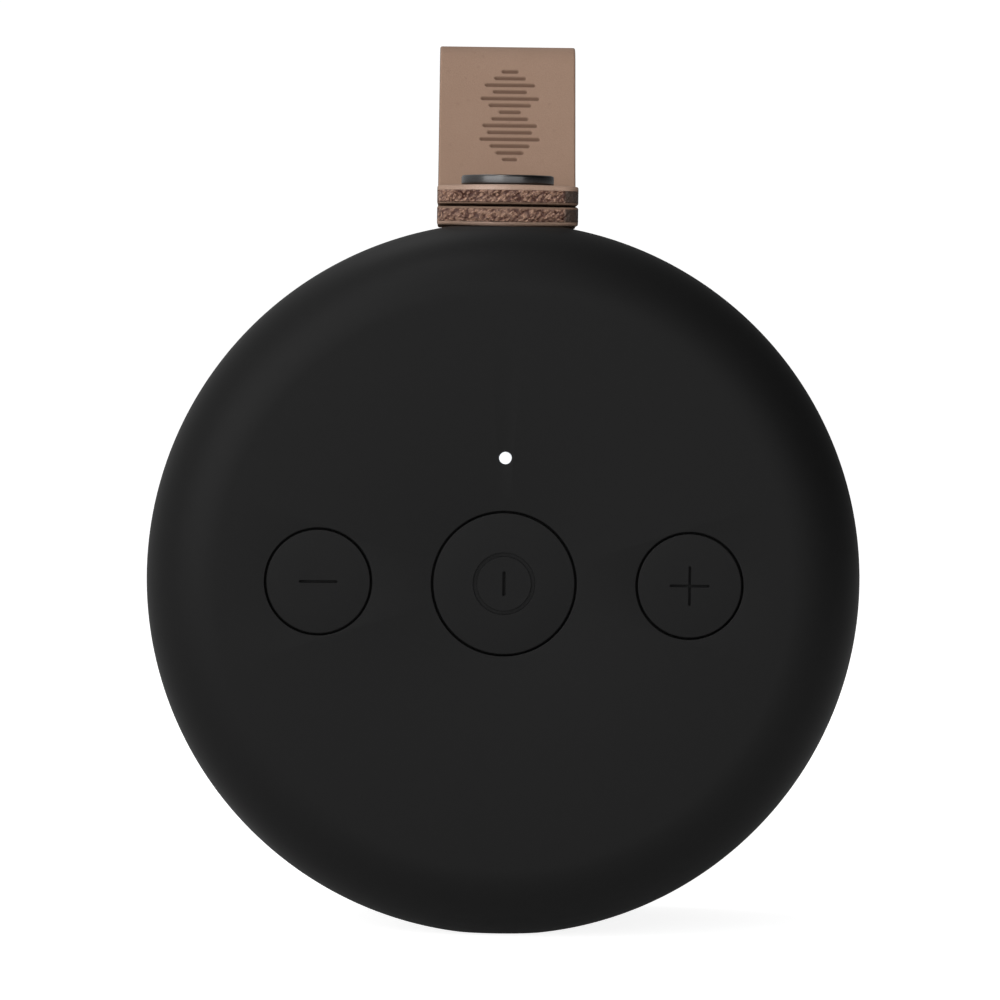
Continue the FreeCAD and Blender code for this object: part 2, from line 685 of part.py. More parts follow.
# ---- strap ----
def strap_insert():
    """Knurled brass sleeve set in the shell, threaded for the stud."""
    sleeve = post(INSERT_RADIUS, INSERT_BASE_Z, SEAT_LEVEL)
    bore = post(STUD_SHANK_RADIUS + THREAD_GAP, INSERT_BASE_Z - 1, SEAT_LEVEL + 1)
    grooves = [post(INSERT_RADIUS + 1, z, z + 0.4).cut(post(INSERT_RADIUS - 0.25, z, z + 0.4))
               for z in (INSERT_BASE_Z + 1.5, INSERT_BASE_Z + 3.5)]
    return sleeve.cut([bore] + grooves)


def snap_stud():
    """A screw-in stud: threaded shank, flange let into the lower layer and the snap head."""
    flange_radius, flange_thickness = STUD_FLANGE
    flange_z = BASE_Z + LEATHER - flange_thickness - 0.05
    shank = post(STUD_SHANK_RADIUS, INSERT_BASE_Z + 0.7, flange_z + 0.1)
    return shank.fuse([
        post(flange_radius, flange_z, flange_z + flange_thickness),
        post(STUD_NECK_RADIUS, flange_z + flange_thickness / 2, STUD_HEAD_Z[0] + 0.1),
        post(STUD_HEAD_RADIUS, *STUD_HEAD_Z)]).removeSplitter()


def tip_layer(z0, rear_y):
    """One flat layer of the strap with its softly rounded tip."""
    half = STRAP_WIDTH / 2
    layer = block(-half, half, TIP_Y, rear_y, z0, z0 + LEATHER)
    rounding = post(TIP_RADIUS, z0, z0 + LEATHER, TIP_Y + TIP_RADIUS)
    layer = layer.common(rounding)
    corners = [e for e in layer.Edges
               if abs(e.Vertexes[0].X) > half - 0.01 and e.BoundBox.YLength < 0.01
               and e.BoundBox.ZLength > 1 and e.BoundBox.YMax < 0]
    return layer.makeFillet(TIP_CORNER, corners)


def strap_base():
    layer = tip_layer(BASE_Z, BEND_AXIS[0])
    clear_bend = bar(STACK_HALF + BEND_CLEARANCE, -BIG, BIG, *BEND_AXIS)
    flange_radius, flange_thickness = STUD_FLANGE
    flange_z = BASE_Z + LEATHER - flange_thickness - 0.1
    counterbore = post(flange_radius + 0.1, flange_z, TAB_Z)
    return layer.cut([clear_bend, post(STUD_SHANK_RADIUS + 0.1, 0, BIG), counterbore])


def strap_tab():
    layer = tip_layer(TAB_Z, LIFT_AXIS[0])
    clear_lift = bar(LEATHER / 2 + LIFT_CLEARANCE, -BIG, BIG, *LIFT_AXIS)
    socket_pocket = post(SOCKET_RADIUS + 0.1, TAB_Z - 1, TAB_Z + SOCKET_Z[1] + 0.05)
    return layer.cut([clear_lift, socket_pocket, post(CAP_SHANK_RADIUS + 0.1, 0, BIG)])


def strap_tab_root():
    half = STRAP_WIDTH / 2
    layer = block(-half, half, LIFT_AXIS[0], BEND_AXIS[0], TAB_Z, TAB_Z + LEATHER)
    layer = layer.fuse(bar(LEATHER / 2, -half, half, *LIFT_AXIS))
    clear_bend = bar(STACK_HALF + BEND_CLEARANCE + 1.0, -BIG, BIG, *BEND_AXIS)
    return layer.cut(clear_bend).removeSplitter()


def teardrop(radius):
    """A teardrop prism about the loop eye, its point towards the bend."""
    angle = math.radians(LOOP_HALF_ANGLE)
    point = LOOP_LENGTH - radius / math.sin(angle)
    touch_u = LOOP_LENGTH - radius * math.sin(angle)
    touch_v = radius * math.cos(angle)
    half = STRAP_WIDTH / 2
    corners = [Vector(-half, point, 0), Vector(-half, touch_u, touch_v),
               Vector(-half, touch_u, -touch_v), Vector(-half, point, 0)]
    wedge = Part.Face(Part.makePolygon(corners)).extrude(Vector(STRAP_WIDTH, 0, 0))
    return wedge.fuse(bar(radius, -half, half, LOOP_LENGTH, 0))


def strap_loop():
    half = STRAP_WIDTH / 2
    eye = teardrop(LOOP_EYE_RADIUS)
    below_bend = block(-BIG, BIG, -BIG, 0, -BIG, BIG)
    outside = teardrop(LOOP_EYE_RADIUS + LEATHER).cut(below_bend)
    neck = block(-half, half, 0, 6, -STACK_HALF, STACK_HALF)
    knuckle = bar(STACK_HALF, -half, half, 0, 0)
    parting = block(-BIG, BIG, 0.6, 8, -STRAP_GAP / 2, STRAP_GAP / 2)
    loop = outside.fuse([neck, knuckle]).cut([eye, parting]).removeSplitter()
    loop.rotate(Vector(), Vector(1, 0, 0), LOOP_ANGLE)
    loop.translate(Vector(0, *BEND_AXIS))
    return loop


def stand_on_strap(shape, z):
    """Turn a shape drawn along the disc axis upright and set it over the stud."""
    shape.rotate(Vector(), Vector(1, 0, 0), 90)
    shape.translate(Vector(0, SNAP_Y, z))
    return shape


def snap_cap():
    side = CAP_HEIGHT * 0.5
    shoulder = CAP_HEIGHT - 0.2
    cap = spun((0, -0.75), (CAP_SHANK_RADIUS, -0.75), (CAP_SHANK_RADIUS, PART_GAP),
               (CAP_RADIUS - 0.3, PART_GAP), (CAP_RADIUS, 0.3), (CAP_RADIUS, side),
               (CAP_RADIUS, shoulder, CAP_RADIUS - 1.4, shoulder),
               (2.6, CAP_HEIGHT, 0, CAP_HEIGHT))
    return stand_on_strap(cap, TAB_Z + LEATHER)


def snap_socket():
    low, high = SOCKET_Z
    ring = tube(SOCKET_BORE, SOCKET_RADIUS, low, high)
    roof = disc(SOCKET_RADIUS, high - SOCKET_ROOF, high)
    return stand_on_strap(ring.fuse(roof).removeSplitter(), TAB_Z)


NODES = {
    "rear_shell": rear_shell,
    "front_shell": front_shell,
    "shell_seal": shell_seal,
    "housing_screws": housing_screws,
    "resting_foot": resting_foot,
    "front_grille": front_grille,
    "grille_cloth": grille_cloth,
    "port_seal": port_seal,
    "volume_down_button": volume_down_button,
    "volume_up_button": volume_up_button,
    "power_button": power_button,
    "status_light_pipe": status_light_pipe,
    "status_led": status_led,
    "switch_bodies": switch_bodies,
    "volume_down_plunger": lambda: plunger(-BUTTON_SPACING),
    "volume_up_plunger": lambda: plunger(BUTTON_SPACING),
    "power_plunger": lambda: plunger(0.0),
    "main_board": main_board,
    "board_screws": board_screws,
    "bluetooth_module": bluetooth_module,
    "amplifier_chip": amplifier_chip,
    "board_capacitors": board_capacitors,
    "board_sockets": board_sockets,
    "usb_receptacle": usb_receptacle,
    "usb_tongue": usb_tongue,
    "port_board": port_board,
    "port_header": port_header,
    "battery_cell": battery_cell,
    "battery_cradle": battery_cradle,
    "cradle_screws": cradle_screws,
    "battery_leads": battery_leads,
    "driver_gasket": driver_gasket,
    "driver_frame": driver_frame,
    "driver_screws": driver_screws,
    "driver_surround": driver_surround,
    "driver_cone": driver_cone,
    "driver_dust_cap": driver_dust_cap,
    "voice_coil_former": voice_coil_former,
    "voice_coil_winding": voice_coil_winding,
    "driver_spider": driver_spider,
    "driver_top_plate": driver_top_plate,
    "driver_magnet": driver_magnet,
    "driver_yoke": driver_yoke,
    "driver_terminals": driver_terminals,
    "speaker_leads": speaker_leads,
    "strap_insert": strap_insert,
    "snap_stud": snap_stud,
    "strap_base": strap_base,
    "strap_loop": strap_loop,
    "strap_tab_root": strap_tab_root,
    "strap_tab": strap_tab,
    "snap_cap": snap_cap,
    "snap_socket": snap_socket,
}


def export_parts():
    os.makedirs("parts", exist_ok=True)
    for name, draw in NODES.items():
        shape = draw()
        shape.translate(Vector(0, 0, FOOT_LEVEL))
        assert shape.isValid(), name
        shape.exportStep(os.path.join("parts", name + ".step"))


export_parts()
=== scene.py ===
import json
import math

import bmesh
import bpy
from mathutils import Matrix, Vector, noise


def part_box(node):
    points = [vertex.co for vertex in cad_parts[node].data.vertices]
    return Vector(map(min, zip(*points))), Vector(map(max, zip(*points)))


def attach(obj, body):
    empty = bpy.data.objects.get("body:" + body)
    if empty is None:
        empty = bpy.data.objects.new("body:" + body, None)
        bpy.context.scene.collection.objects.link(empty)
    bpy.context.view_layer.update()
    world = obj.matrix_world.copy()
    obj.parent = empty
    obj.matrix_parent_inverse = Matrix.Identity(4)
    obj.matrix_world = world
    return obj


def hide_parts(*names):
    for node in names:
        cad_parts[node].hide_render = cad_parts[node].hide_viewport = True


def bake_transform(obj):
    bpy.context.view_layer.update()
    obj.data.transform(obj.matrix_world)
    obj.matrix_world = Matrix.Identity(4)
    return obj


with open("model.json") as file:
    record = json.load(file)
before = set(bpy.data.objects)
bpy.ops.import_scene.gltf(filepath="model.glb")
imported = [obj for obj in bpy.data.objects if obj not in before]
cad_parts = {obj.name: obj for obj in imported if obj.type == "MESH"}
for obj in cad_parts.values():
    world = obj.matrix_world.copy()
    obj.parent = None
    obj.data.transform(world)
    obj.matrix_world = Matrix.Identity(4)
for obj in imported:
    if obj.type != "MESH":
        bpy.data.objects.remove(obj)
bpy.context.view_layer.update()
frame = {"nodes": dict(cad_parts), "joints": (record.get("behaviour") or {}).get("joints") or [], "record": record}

# Looks of the round portable speaker. Lengths are in millimetres from the disc axis, as in the
# CAD part, and are turned into metres in the row frame when a mesh is made.

MM = 0.001
JOINTS = {joint["name"]: joint for joint in frame["joints"]}

SHELL_LOW, SHELL_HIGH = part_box("rear_shell")
GRILLE_LOW, GRILLE_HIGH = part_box("front_grille")
AXIS_HEIGHT = (GRILLE_LOW.z + GRILLE_HIGH.z) / 2 / MM
BODY_RADIUS = (SHELL_HIGH.x - SHELL_LOW.x) / 2 / MM
REAR_Y = SHELL_LOW.y / MM
FRONT_Y = -REAR_Y


def row(x, y, z):
    """A point given from the disc axis, in metres in the row frame."""
    return Vector((x * MM, y * MM, (z + AXIS_HEIGHT) * MM))


def centre_of(node):
    """Middle of a CAD node's box, from the disc axis."""
    low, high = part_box(node)
    middle = (low + high) / 2 / MM
    return middle.x, middle.y, middle.z - AXIS_HEIGHT


def half_size(node):
    """Half the width and half the depth of a CAD node's box."""
    low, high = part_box(node)
    return (high.x - low.x) / 2 / MM, (high.y - low.y) / 2 / MM


def heights(node):
    """Bottom and top of a CAD node's box, from the disc axis."""
    low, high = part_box(node)
    return low.z / MM - AXIS_HEIGHT, high.z / MM - AXIS_HEIGHT


# ---------------------------------------------------------------- node material helpers
class Nodes:
    """Small wrapper that builds the nodes of one procedural material, or of the world."""

    def __init__(self, name, owners=bpy.data.materials):
        self.owner = owners.new(name)
        self.owner.use_nodes = True
        self.tree = self.owner.node_tree
        self.shader = self.tree.nodes.get("Principled BSDF") or self.tree.nodes["Background"]
        self.coordinates = self.add("TexCoord", "Object")

    def put(self, value, socket):
        """Give a socket a colour, a vector, a number or another node's output."""
        if isinstance(value, tuple):
            socket.default_value = (*value, 1.0)[:len(socket.default_value)]
        elif isinstance(value, (int, float)):
            socket.default_value = value
        else:
            self.tree.links.new(value, socket)

    def add(self, kind, output, inputs=(), **settings):
        """Add a node with (input, value) pairs and give one of its outputs."""
        node = self.tree.nodes.new("ShaderNode" + kind)
        for key, value in settings.items():
            setattr(node, key, value)
        for socket, value in inputs:
            self.put(value, node.inputs[socket])
        return node.outputs[output]

    def set(self, **values):
        """Fill inputs of the shader."""
        for key, value in values.items():
            self.put(value, self.shader.inputs[key.replace("_", " ")])

    def noise(self, scale, detail, coordinates=None, roughness=0.5):
        return self.add("TexNoise", "Fac", (("Scale", scale), ("Detail", detail),
                                            ("Roughness", roughness),
                                            ("Vector", coordinates or self.coordinates)))

    def cells(self, scale, coordinates=None, feature="F1"):
        return self.add("TexVoronoi", "Distance",
                        (("Scale", scale), ("Vector", coordinates or self.coordinates)),
                        feature=feature)

    def wave(self, direction, scale, distortion=0.0):
        return self.add("TexWave", "Fac", (("Scale", scale), ("Distortion", distortion),
                                           ("Vector", self.coordinates)),
                        bands_direction=direction)

    def ramp(self, value, low, high, start=0.0, end=1.0, interpolation="LINEAR"):
        """Map value from low..high to start..end."""
        return self.add("MapRange", "Result", (("Value", value), ("From Min", low),
                                               ("From Max", high), ("To Min", start),
                                               ("To Max", end)), interpolation_type=interpolation)

    def mix(self, factor, first, second):
        return self.add("Mix", "Result", (("Factor", factor), ("A", first), ("B", second)),
                        data_type="RGBA")

    def math(self, operation, first, second):
        return self.add("Math", "Value", ((0, first), (1, second)), operation=operation)

    def attribute(self, name, output="Fac"):
        return self.add("Attribute", output, attribute_name=name)

    def bump(self, height, distance, strength=1.0, under=()):
        """Add relief; distance is in millimetres, under holds the relief below it, if any."""
        inputs = [("Height", height), ("Distance", distance * MM), ("Strength", strength)]
        normal = self.add("Bump", "Normal", inputs + [("Normal", other) for other in under])
        self.set(Normal=normal)
        return normal


# ---------------------------------------------------------------- finishes
def speckled(name, dark, light, roughness, metallic=0.0, grain=900.0, relief=0.02):
    """A plain finish with fine grain in its colour, its gloss and its relief."""
    m = Nodes(name)
    fine = m.noise(grain, 4.0)
    broad = m.noise(grain / 40, 2.0)
    m.set(Base_Color=m.mix(m.ramp(m.math("ADD", fine, broad), 0.7, 1.3), dark, light),
          Roughness=m.ramp(broad, 0.3, 0.7, roughness - 0.05, roughness + 0.05), Metallic=metallic)
    m.bump(fine, relief, 0.6)
    return m.owner


def soft_touch():
    """Matt black with the faintest clouding, so that it shows no sparkle."""
    m = Nodes("soft_touch_black")
    grain = m.noise(2600.0, 3.0)
    cloud = m.noise(26.0, 3.0)
    shade = m.ramp(cloud, 0.3, 0.7)
    m.set(Base_Color=m.mix(shade, (0.0076, 0.0076, 0.0077), (0.0084, 0.0084, 0.0084)),
          Roughness=m.ramp(cloud, 0.3, 0.7, 0.50, 0.54), Specular_IOR_Level=0.14)
    m.bump(grain, 0.012, 0.35)
    return m.owner


FIBRE_SLANT = 0.85  # radians that the torn fibres lean across a cut tip
FIBRE_STRETCH = 0.42


def torn_fibre(m, strip):
    """Pattern of the torn fibres on a cut tip; the upper tip mirrors the lower one."""
    side = m.ramp(m.attribute("upper"), 0.0, 1.0, 1.0, -1.0)
    facing = m.add("CombineXYZ", "Vector", ((0, 1.0), (1, 1.0), (2, side)))
    cut = m.add("VectorMath", "Vector", ((0, strip), (1, facing)), operation="MULTIPLY")
    turned = m.add("Mapping", "Vector", (("Vector", cut), ("Rotation", (0.0, FIBRE_SLANT, 0.0))))
    slanted = m.add("Mapping", "Vector", (("Vector", turned), ("Scale", (1.0, 1.0, FIBRE_STRETCH))))
    ragged = m.noise(4.6, 4.0, slanted, 0.62)
    pebbles = m.ramp(m.cells(2.9, slanted, "SMOOTH_F1"), 0.1, 0.62, 1.0, 0.0)
    return m.math("ADD", m.math("MULTIPLY", ragged, 0.55), m.math("MULTIPLY", pebbles, 0.45))


def grain_colour(m, strip, fine, polished):
    """Tan, with darker clouds, pricked pores and pressed bars, and a painted highlight that pales the glossy tip
    edges.
    """
    broad = m.noise(0.14, 3.0, strip)
    pricks = m.ramp(m.cells(0.42, strip), 0.05, 0.16, 1.0, 0.0)
    painted_highlight = m.math("MULTIPLY", polished, m.ramp(fine, 0.3, 0.7, 0.5, 1.0))
    grain = m.mix(m.ramp(fine, 0.3, 0.7), (0.322, 0.209, 0.149), (0.362, 0.238, 0.173))
    grain = m.mix(m.ramp(broad, 0.4, 0.7, 0.0, 0.35), grain, (0.310, 0.197, 0.138))
    grain = m.mix(m.math("MULTIPLY", pricks, 0.12), grain, (0.13, 0.075, 0.05))
    pressed = m.math("MULTIPLY", m.attribute("pressed"), 0.78)
    # the pale mix is a painted highlight on the glossy edges of the tips
    return m.mix(painted_highlight, m.mix(pressed, grain, (0.105, 0.055, 0.035)), (0.62, 0.43, 0.34))


def leather():
    """Tan leather: pored grain outside, suede inside, torn fibres at the tips, dark dyed sides; painted highlight
    on the tip edges, painted shade on the right-hand tip ends and in the fibres' hollows.
    """
    m = Nodes("tan_leather")
    strip = m.attribute("strip", "Vector")
    torn = m.attribute("torn")
    polished = m.attribute("polished")
    fine = m.noise(6.0, 5.0, strip, 0.65)
    fibre = torn_fibre(m, strip)
    shade = m.ramp(fine, 0.3, 0.7)
    suede = m.mix(shade, (0.20, 0.125, 0.088), (0.28, 0.185, 0.135))
    # the fibres are darker in their hollows and paler on their ridges: painted shade and painted highlight
    # following their relief
    fibres_painted_light = m.mix(m.ramp(fibre, 0.30, 0.66), (0.085, 0.030, 0.019), (0.470, 0.280, 0.195))
    dyed_edge_and_shade_colour = m.mix(shade, (0.060, 0.036, 0.026), (0.085, 0.052, 0.038))
    colour = m.mix(m.attribute("inner"), grain_colour(m, strip, fine, polished), suede)
    colour = m.mix(torn, colour, fibres_painted_light)
    matt = m.ramp(torn, 0.0, 1.0, 0.6, 0.4)
    shine = m.math("ADD", m.ramp(polished, 0.0, 1.0, 0.16, 0.6), m.math("MULTIPLY", torn, 0.3))
    # dark edge colour: dye on the side edges, and painted shade on the right-hand ends of the tips
    m.set(Base_Color=m.mix(m.attribute("dressed"), colour, dyed_edge_and_shade_colour),
          Roughness=m.math("SUBTRACT", matt, m.math("MULTIPLY", polished, 0.26)),
          Specular_IOR_Level=shine)
    pore_relief = m.bump(m.cells(3.4, strip, "SMOOTH_F1"), 0.045, 0.28)
    fibre_height = m.math("MULTIPLY", m.math("MULTIPLY", fibre, 1.6), torn)
    m.bump(m.math("ADD", m.math("MULTIPLY", fine, 0.22), fibre_height), 0.22, 0.9, [pore_relief])
    return m.owner


def turned_metal(name, dark, light, roughness, streaks):
    """Metal with concentric turning marks about its own vertical axis."""
    m = Nodes(name)
    place = m.attribute("local", "Vector")
    squares = [m.math("POWER", m.add("SeparateXYZ", axis, (("Vector", place),)), 2.0)
               for axis in ("X", "Y")]
    radius = m.math("SQRT", m.math("ADD", *squares), 0.0)
    line = m.add("CombineXYZ", "Vector", (("X", m.math("MULTIPLY", radius, streaks)),))
    marks = m.noise(1.0, 2.0, line)
    m.set(Base_Color=m.mix(m.ramp(marks, 0.3, 0.7), dark, light),
          Roughness=m.ramp(marks, 0.3, 0.7, roughness - 0.04, roughness + 0.05), Metallic=1.0)
    m.bump(marks, 0.004, 0.12)
    return m.owner


def coated_grille():
    """Dark coated metal with a fine orange-peel surface."""
    m = Nodes("gunmetal")
    fine = m.noise(3000.0, 3.0)
    broad = m.noise(40.0, 2.0)
    shade = m.ramp(fine, 0.3, 0.7)
    m.set(Base_Color=m.mix(shade, (0.050, 0.051, 0.054), (0.075, 0.077, 0.081)),
          Roughness=m.ramp(broad, 0.3, 0.7, 0.38, 0.48), Metallic=0.85)
    m.bump(fine, 0.01, 0.4)
    return m.owner


def woven(name, dark, light, threads):
    """Plain weave in the XZ plane, as relief and as shade."""
    m = Nodes(name)
    weave = m.math("MULTIPLY", *[m.wave(axis, threads, 0.6) for axis in ("X", "Z")])
    m.set(Base_Color=m.mix(weave, dark, light), Roughness=0.92, Specular_IOR_Level=0.15)
    m.bump(weave, 0.1, 0.8)
    return m.owner


def light_lens():
    """Frosted white plastic, lit from behind."""
    m = Nodes("clear_light")
    frost = m.noise(1800.0, 2.0)
    m.set(Base_Color=m.mix(m.ramp(frost, 0.3, 0.7), (0.78, 0.80, 0.83), (0.9, 0.91, 0.93)),
          Roughness=0.25, Emission_Color=(0.93, 0.96, 1.0), Emission_Strength=0.55)
    m.bump(frost, 0.005, 0.3)
    return m.owner


def circuit_board():
    """Green mask with copper tracks showing through as paler lines."""
    m = Nodes("board_green")
    from_edge = m.cells(300.0, None, "DISTANCE_TO_EDGE")
    tracks = m.ramp(from_edge, 0.02, 0.07, 1.0, 0.0)
    mask = m.ramp(m.noise(60.0, 2.0), 0.3, 0.7)
    green = m.mix(mask, (0.010, 0.085, 0.040), (0.014, 0.11, 0.052))
    m.set(Base_Color=m.mix(tracks, green, (0.03, 0.19, 0.085)),
          Roughness=m.ramp(from_edge, 0.02, 0.08, 0.3, 0.42))
    m.bump(tracks, 0.03, 0.6)
    return m.owner


def wound_copper():
    """Enamelled wire; the turns show as fine bands along the coil."""
    m = Nodes("copper_wire")
    turns = m.wave("Y", 900.0)
    m.set(Base_Color=m.mix(turns, (0.36, 0.13, 0.05), (0.70, 0.32, 0.15)), Roughness=0.3,
          Metallic=0.9)
    m.bump(turns, 0.05, 0.8)
    return m.owner


# dark colour, light colour, roughness, then what differs from a plain matt finish
PLAIN_FINISHES = {
    "black_rubber": ((0.010, 0.010, 0.010), (0.018, 0.018, 0.018), 0.8, {"relief": 0.03}),
    "brass": ((0.52, 0.36, 0.14), (0.68, 0.50, 0.24), 0.3, {"metallic": 1.0, "grain": 1500.0}),
    "steel_screws": ((0.20, 0.20, 0.21), (0.34, 0.34, 0.35), 0.35, {"metallic": 1.0}),
    "chip_black": ((0.012, 0.012, 0.013), (0.024, 0.024, 0.026), 0.5, {}),
    "plunger_white": ((0.62, 0.61, 0.57), (0.74, 0.73, 0.69), 0.45, {}),
    "tinned_steel": ((0.48, 0.48, 0.48), (0.62, 0.62, 0.62), 0.3, {"metallic": 1.0}),
    "capacitor_can": ((0.46, 0.47, 0.5), (0.6, 0.61, 0.64), 0.3, {"metallic": 0.9}),
    "socket_ivory": ((0.66, 0.61, 0.48), (0.76, 0.71, 0.58), 0.5, {}),
    "cell_sleeve": ((0.02, 0.09, 0.24), (0.03, 0.12, 0.30), 0.32, {"relief": 0.01}),
    "cradle_plastic": ((0.02, 0.02, 0.02), (0.035, 0.035, 0.035), 0.6, {}),
    "lead_sleeve": ((0.28, 0.015, 0.015), (0.38, 0.03, 0.03), 0.4, {}),
    "driver_steel": ((0.022, 0.022, 0.024), (0.04, 0.04, 0.043), 0.45,
                     {"metallic": 0.4, "relief": 0.03}),
    "ferrite": ((0.03, 0.03, 0.032), (0.055, 0.055, 0.058), 0.7, {"relief": 0.05}),
    "cone_paper": ((0.014, 0.014, 0.014), (0.03, 0.03, 0.03), 0.85,
                   {"grain": 700.0, "relief": 0.08}),
    "coil_former": ((0.5, 0.5, 0.5), (0.64, 0.64, 0.64), 0.3, {"metallic": 1.0}),
}


def make_finishes():
    """Every material of the speaker, by the name of its slot."""
    finishes = {
        "soft_touch_black": soft_touch(),
        "gunmetal": coated_grille(),
        "black_cloth": woven("black_cloth", (0.003, 0.003, 0.003), (0.022, 0.022, 0.023), 420.0),
        "clear_light": light_lens(),
        "tan_leather": leather(),
        "dark_nickel": turned_metal("dark_nickel", (0.100, 0.098, 0.098),
                                    (0.135, 0.132, 0.131), 0.27, 2.2),
        "board_green": circuit_board(),
        "spider_cloth": woven("spider_cloth", (0.24, 0.16, 0.05), (0.44, 0.31, 0.12), 360.0),
        "copper_wire": wound_copper(),
    }
    for name, (dark, light, roughness, others) in PLAIN_FINISHES.items():
        finishes[name] = speckled(name, dark, light, roughness, **others)
    return finishes


# ---------------------------------------------------------------- mesh helpers
CREASE = 32.0  # degrees above which an edge is kept crisp
SHELL_SEGMENTS = 288
KEY_SEGMENTS = 160


def add_object(name, data):
    thing = bpy.data.objects.new(name, data)
    bpy.context.scene.collection.objects.link(thing)
    return thing


def evaluated_mesh(thing):
    """The shape of an object after its modifiers, as a new mesh."""
    graph = bpy.context.evaluated_depsgraph_get()
    return bpy.data.meshes.new_from_object(thing.evaluated_get(graph))


def finish_mesh(name, mesh, material, crease=CREASE):
    """Smooth-shade a mesh, keep its real edges crisp and put it in the scene."""
    mesh.polygons.foreach_set("use_smooth", [True] * len(mesh.polygons))
    mesh.set_sharp_from_angle(angle=math.radians(crease))
    mesh.materials.clear()
    mesh.materials.append(material)
    return add_object(name, mesh)


def fix_normals(mesh, merge_distance=None):
    """Turn the faces outwards, after joining points that lie closer than merge_distance."""
    work = bmesh.new()
    work.from_mesh(mesh)
    if merge_distance is not None:
        bmesh.ops.remove_doubles(work, verts=work.verts, dist=merge_distance)
    bmesh.ops.recalc_face_normals(work, faces=work.faces)
    work.to_mesh(mesh)
    work.free()


def from_faces(name, points, faces, material, crease=CREASE):
    mesh = bpy.data.meshes.new(name)
    mesh.from_pydata([row(*point) for point in points], [], faces)
    mesh.validate()
    piece = finish_mesh(name, mesh, material, crease)
    fix_normals(mesh)
    return piece


def rounded(corner, before, after, steps):
    """Points of an elliptical corner; before and after are its ends, from the corner point."""
    points = []
    for i in range(steps + 1):
        angle = math.pi / 2 * i / steps
        a, b = 1 - math.sin(angle), 1 - math.cos(angle)
        points.append(tuple(c + p * a + q * b for c, p, q in zip(corner, before, after)))
    return points


def skin(rings, count):
    """Faces between neighbouring rings, each a closed loop of count points."""
    loop = [(j, (j + 1) % count) for j in range(count)]
    return [(a + k, b + k, b + k + count, a + k + count)
            for k in range(0, (rings - 1) * count, count) for a, b in loop]


def lathe_faces(profile, segments, closed, phase):
    """Points and faces of a (radius, height) profile turned about a vertical axis."""
    points = []
    faces = []
    rings = []
    for radius, height in profile:
        if radius < 1e-6:
            rings.append([len(points)] * segments)
            points.append((0.0, 0.0, height))
            continue
        rings.append(list(range(len(points), len(points) + segments)))
        for i in range(segments):
            angle = 2 * math.pi * i / segments + phase
            points.append((radius * math.cos(angle), radius * math.sin(angle), height))
    following = rings[1:] + rings[:1] if closed else rings[1:]
    for low, high in zip(rings, following):
        for i in range(segments):
            j = (i + 1) % segments
            face = list(dict.fromkeys([low[i], low[j], high[j], high[i]]))
            if len(face) > 2:
                faces.append(face)
    return points, faces


def lathe(name, profile, material, segments, closed=False, about_y=True, centre=(0, 0, 0),
          phase=0.0):
    """A turned piece; about_y lays its axis along the disc axis, its height along +Y."""
    points, faces = lathe_faces(profile, segments, closed, phase)
    if about_y:
        points = [(x, h, -z) for x, z, h in points]
    moved = [(x + centre[0], y + centre[1], z + centre[2]) for x, y, z in points]
    return from_faces(name, moved, faces, material)


def cut_away(piece, cutters):
    """Boolean each cutter out of the piece in turn, then shade its level faces flat."""
    for cutter in cutters:
        modifier = piece.modifiers.new("cut", "BOOLEAN")
        modifier.object = cutter
        modifier.operation = "DIFFERENCE"
        modifier.solver = "EXACT"
        mesh = evaluated_mesh(piece)
        old = piece.data
        piece.modifiers.clear()
        piece.data = mesh
        mesh.name = piece.name
        bpy.data.meshes.remove(old)
        bpy.data.objects.remove(cutter)
    level = [abs(face.normal.y) > 0.99999 for face in piece.data.polygons]
    piece.data.polygons.foreach_set("use_smooth", [not flat for flat in level])
    piece.data.set_sharp_from_angle(angle=math.radians(CREASE))


def stadium(name, length, width, y_range, centre, material, along_x=True):
    """A round-ended prism along Y, lying along X or Z."""
    steps = 12
    half = (length - width) / 2
    outline = []
    for side in (1, -1):
        for i in range(steps + 1):
            angle = math.pi * (i / steps - 0.5) + (0 if side > 0 else math.pi)
            outline.append((side * half + width / 2 * math.cos(angle), width / 2 * math.sin(angle)))
    if not along_x:
        outline = [(-b, a) for a, b in outline]
    points = []
    for y in y_range:
        points += [(centre[0] + a, y, centre[2] + b) for a, b in outline]
    count = len(outline)
    faces = [list(range(count))[::-1], list(range(count, 2 * count))]
    faces += skin(2, count)
    return from_faces(name, points, faces, material)


def show(piece, body, node):
    """Tie a finished piece to its body and the CAD node it stands for."""
    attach(piece, body)
    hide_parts(node)


# ---------------------------------------------------------------- housing
REAR_CORNER = (10.5, 11.0)  # radial and axial size of the soft corner round the control face
FRONT_CORNER = (5.0, 6.5)
WALL = 2.2
SEAT_LEVEL = 50.35  # flat under the strap
BELLY_LEVEL = 50.55  # flat round the foot
FLAT_CUT = (20, 40)  # half width and half depth, past the edges of either flat
FAR = 60  # outside the speaker
POCKET_PLAY = (0.1, 0.03)  # round and above the foot
PARTING_Y = 12.0  # where the shells meet
REVEAL = 0.4
PARTING_EDGE = 0.35  # rounding on both sides of the parting line
SPIGOT = (47.4, 48.7, 3.0)  # inner radius, outer radius and depth inside the rear shell
GRILLE_LIP = (45.5, 0.3)  # radius of the step that the grille sits in, rounding at its mouth
GRILLE_SEAT = (43.5, 21.6)  # radius of the opening under the grille, level of its seat
BAFFLE_HOLE = 27.2
BAFFLE_Y = (13.0, 15.2)
BAFFLE_EDGE = 45.2
LIP_BACK_Y = 20
PORT_OPENING = (10.74, 5.06)
PORT_CUT_Y = (-6, 6)
KEY_RADII = {"volume_down": 7.3, "power": 9.95, "volume_up": 7.3}
KEY_EDGE = 0.12
GROOVE = 0.31
HOLE_LIP = 0.11
HOLE_DEPTH = 4
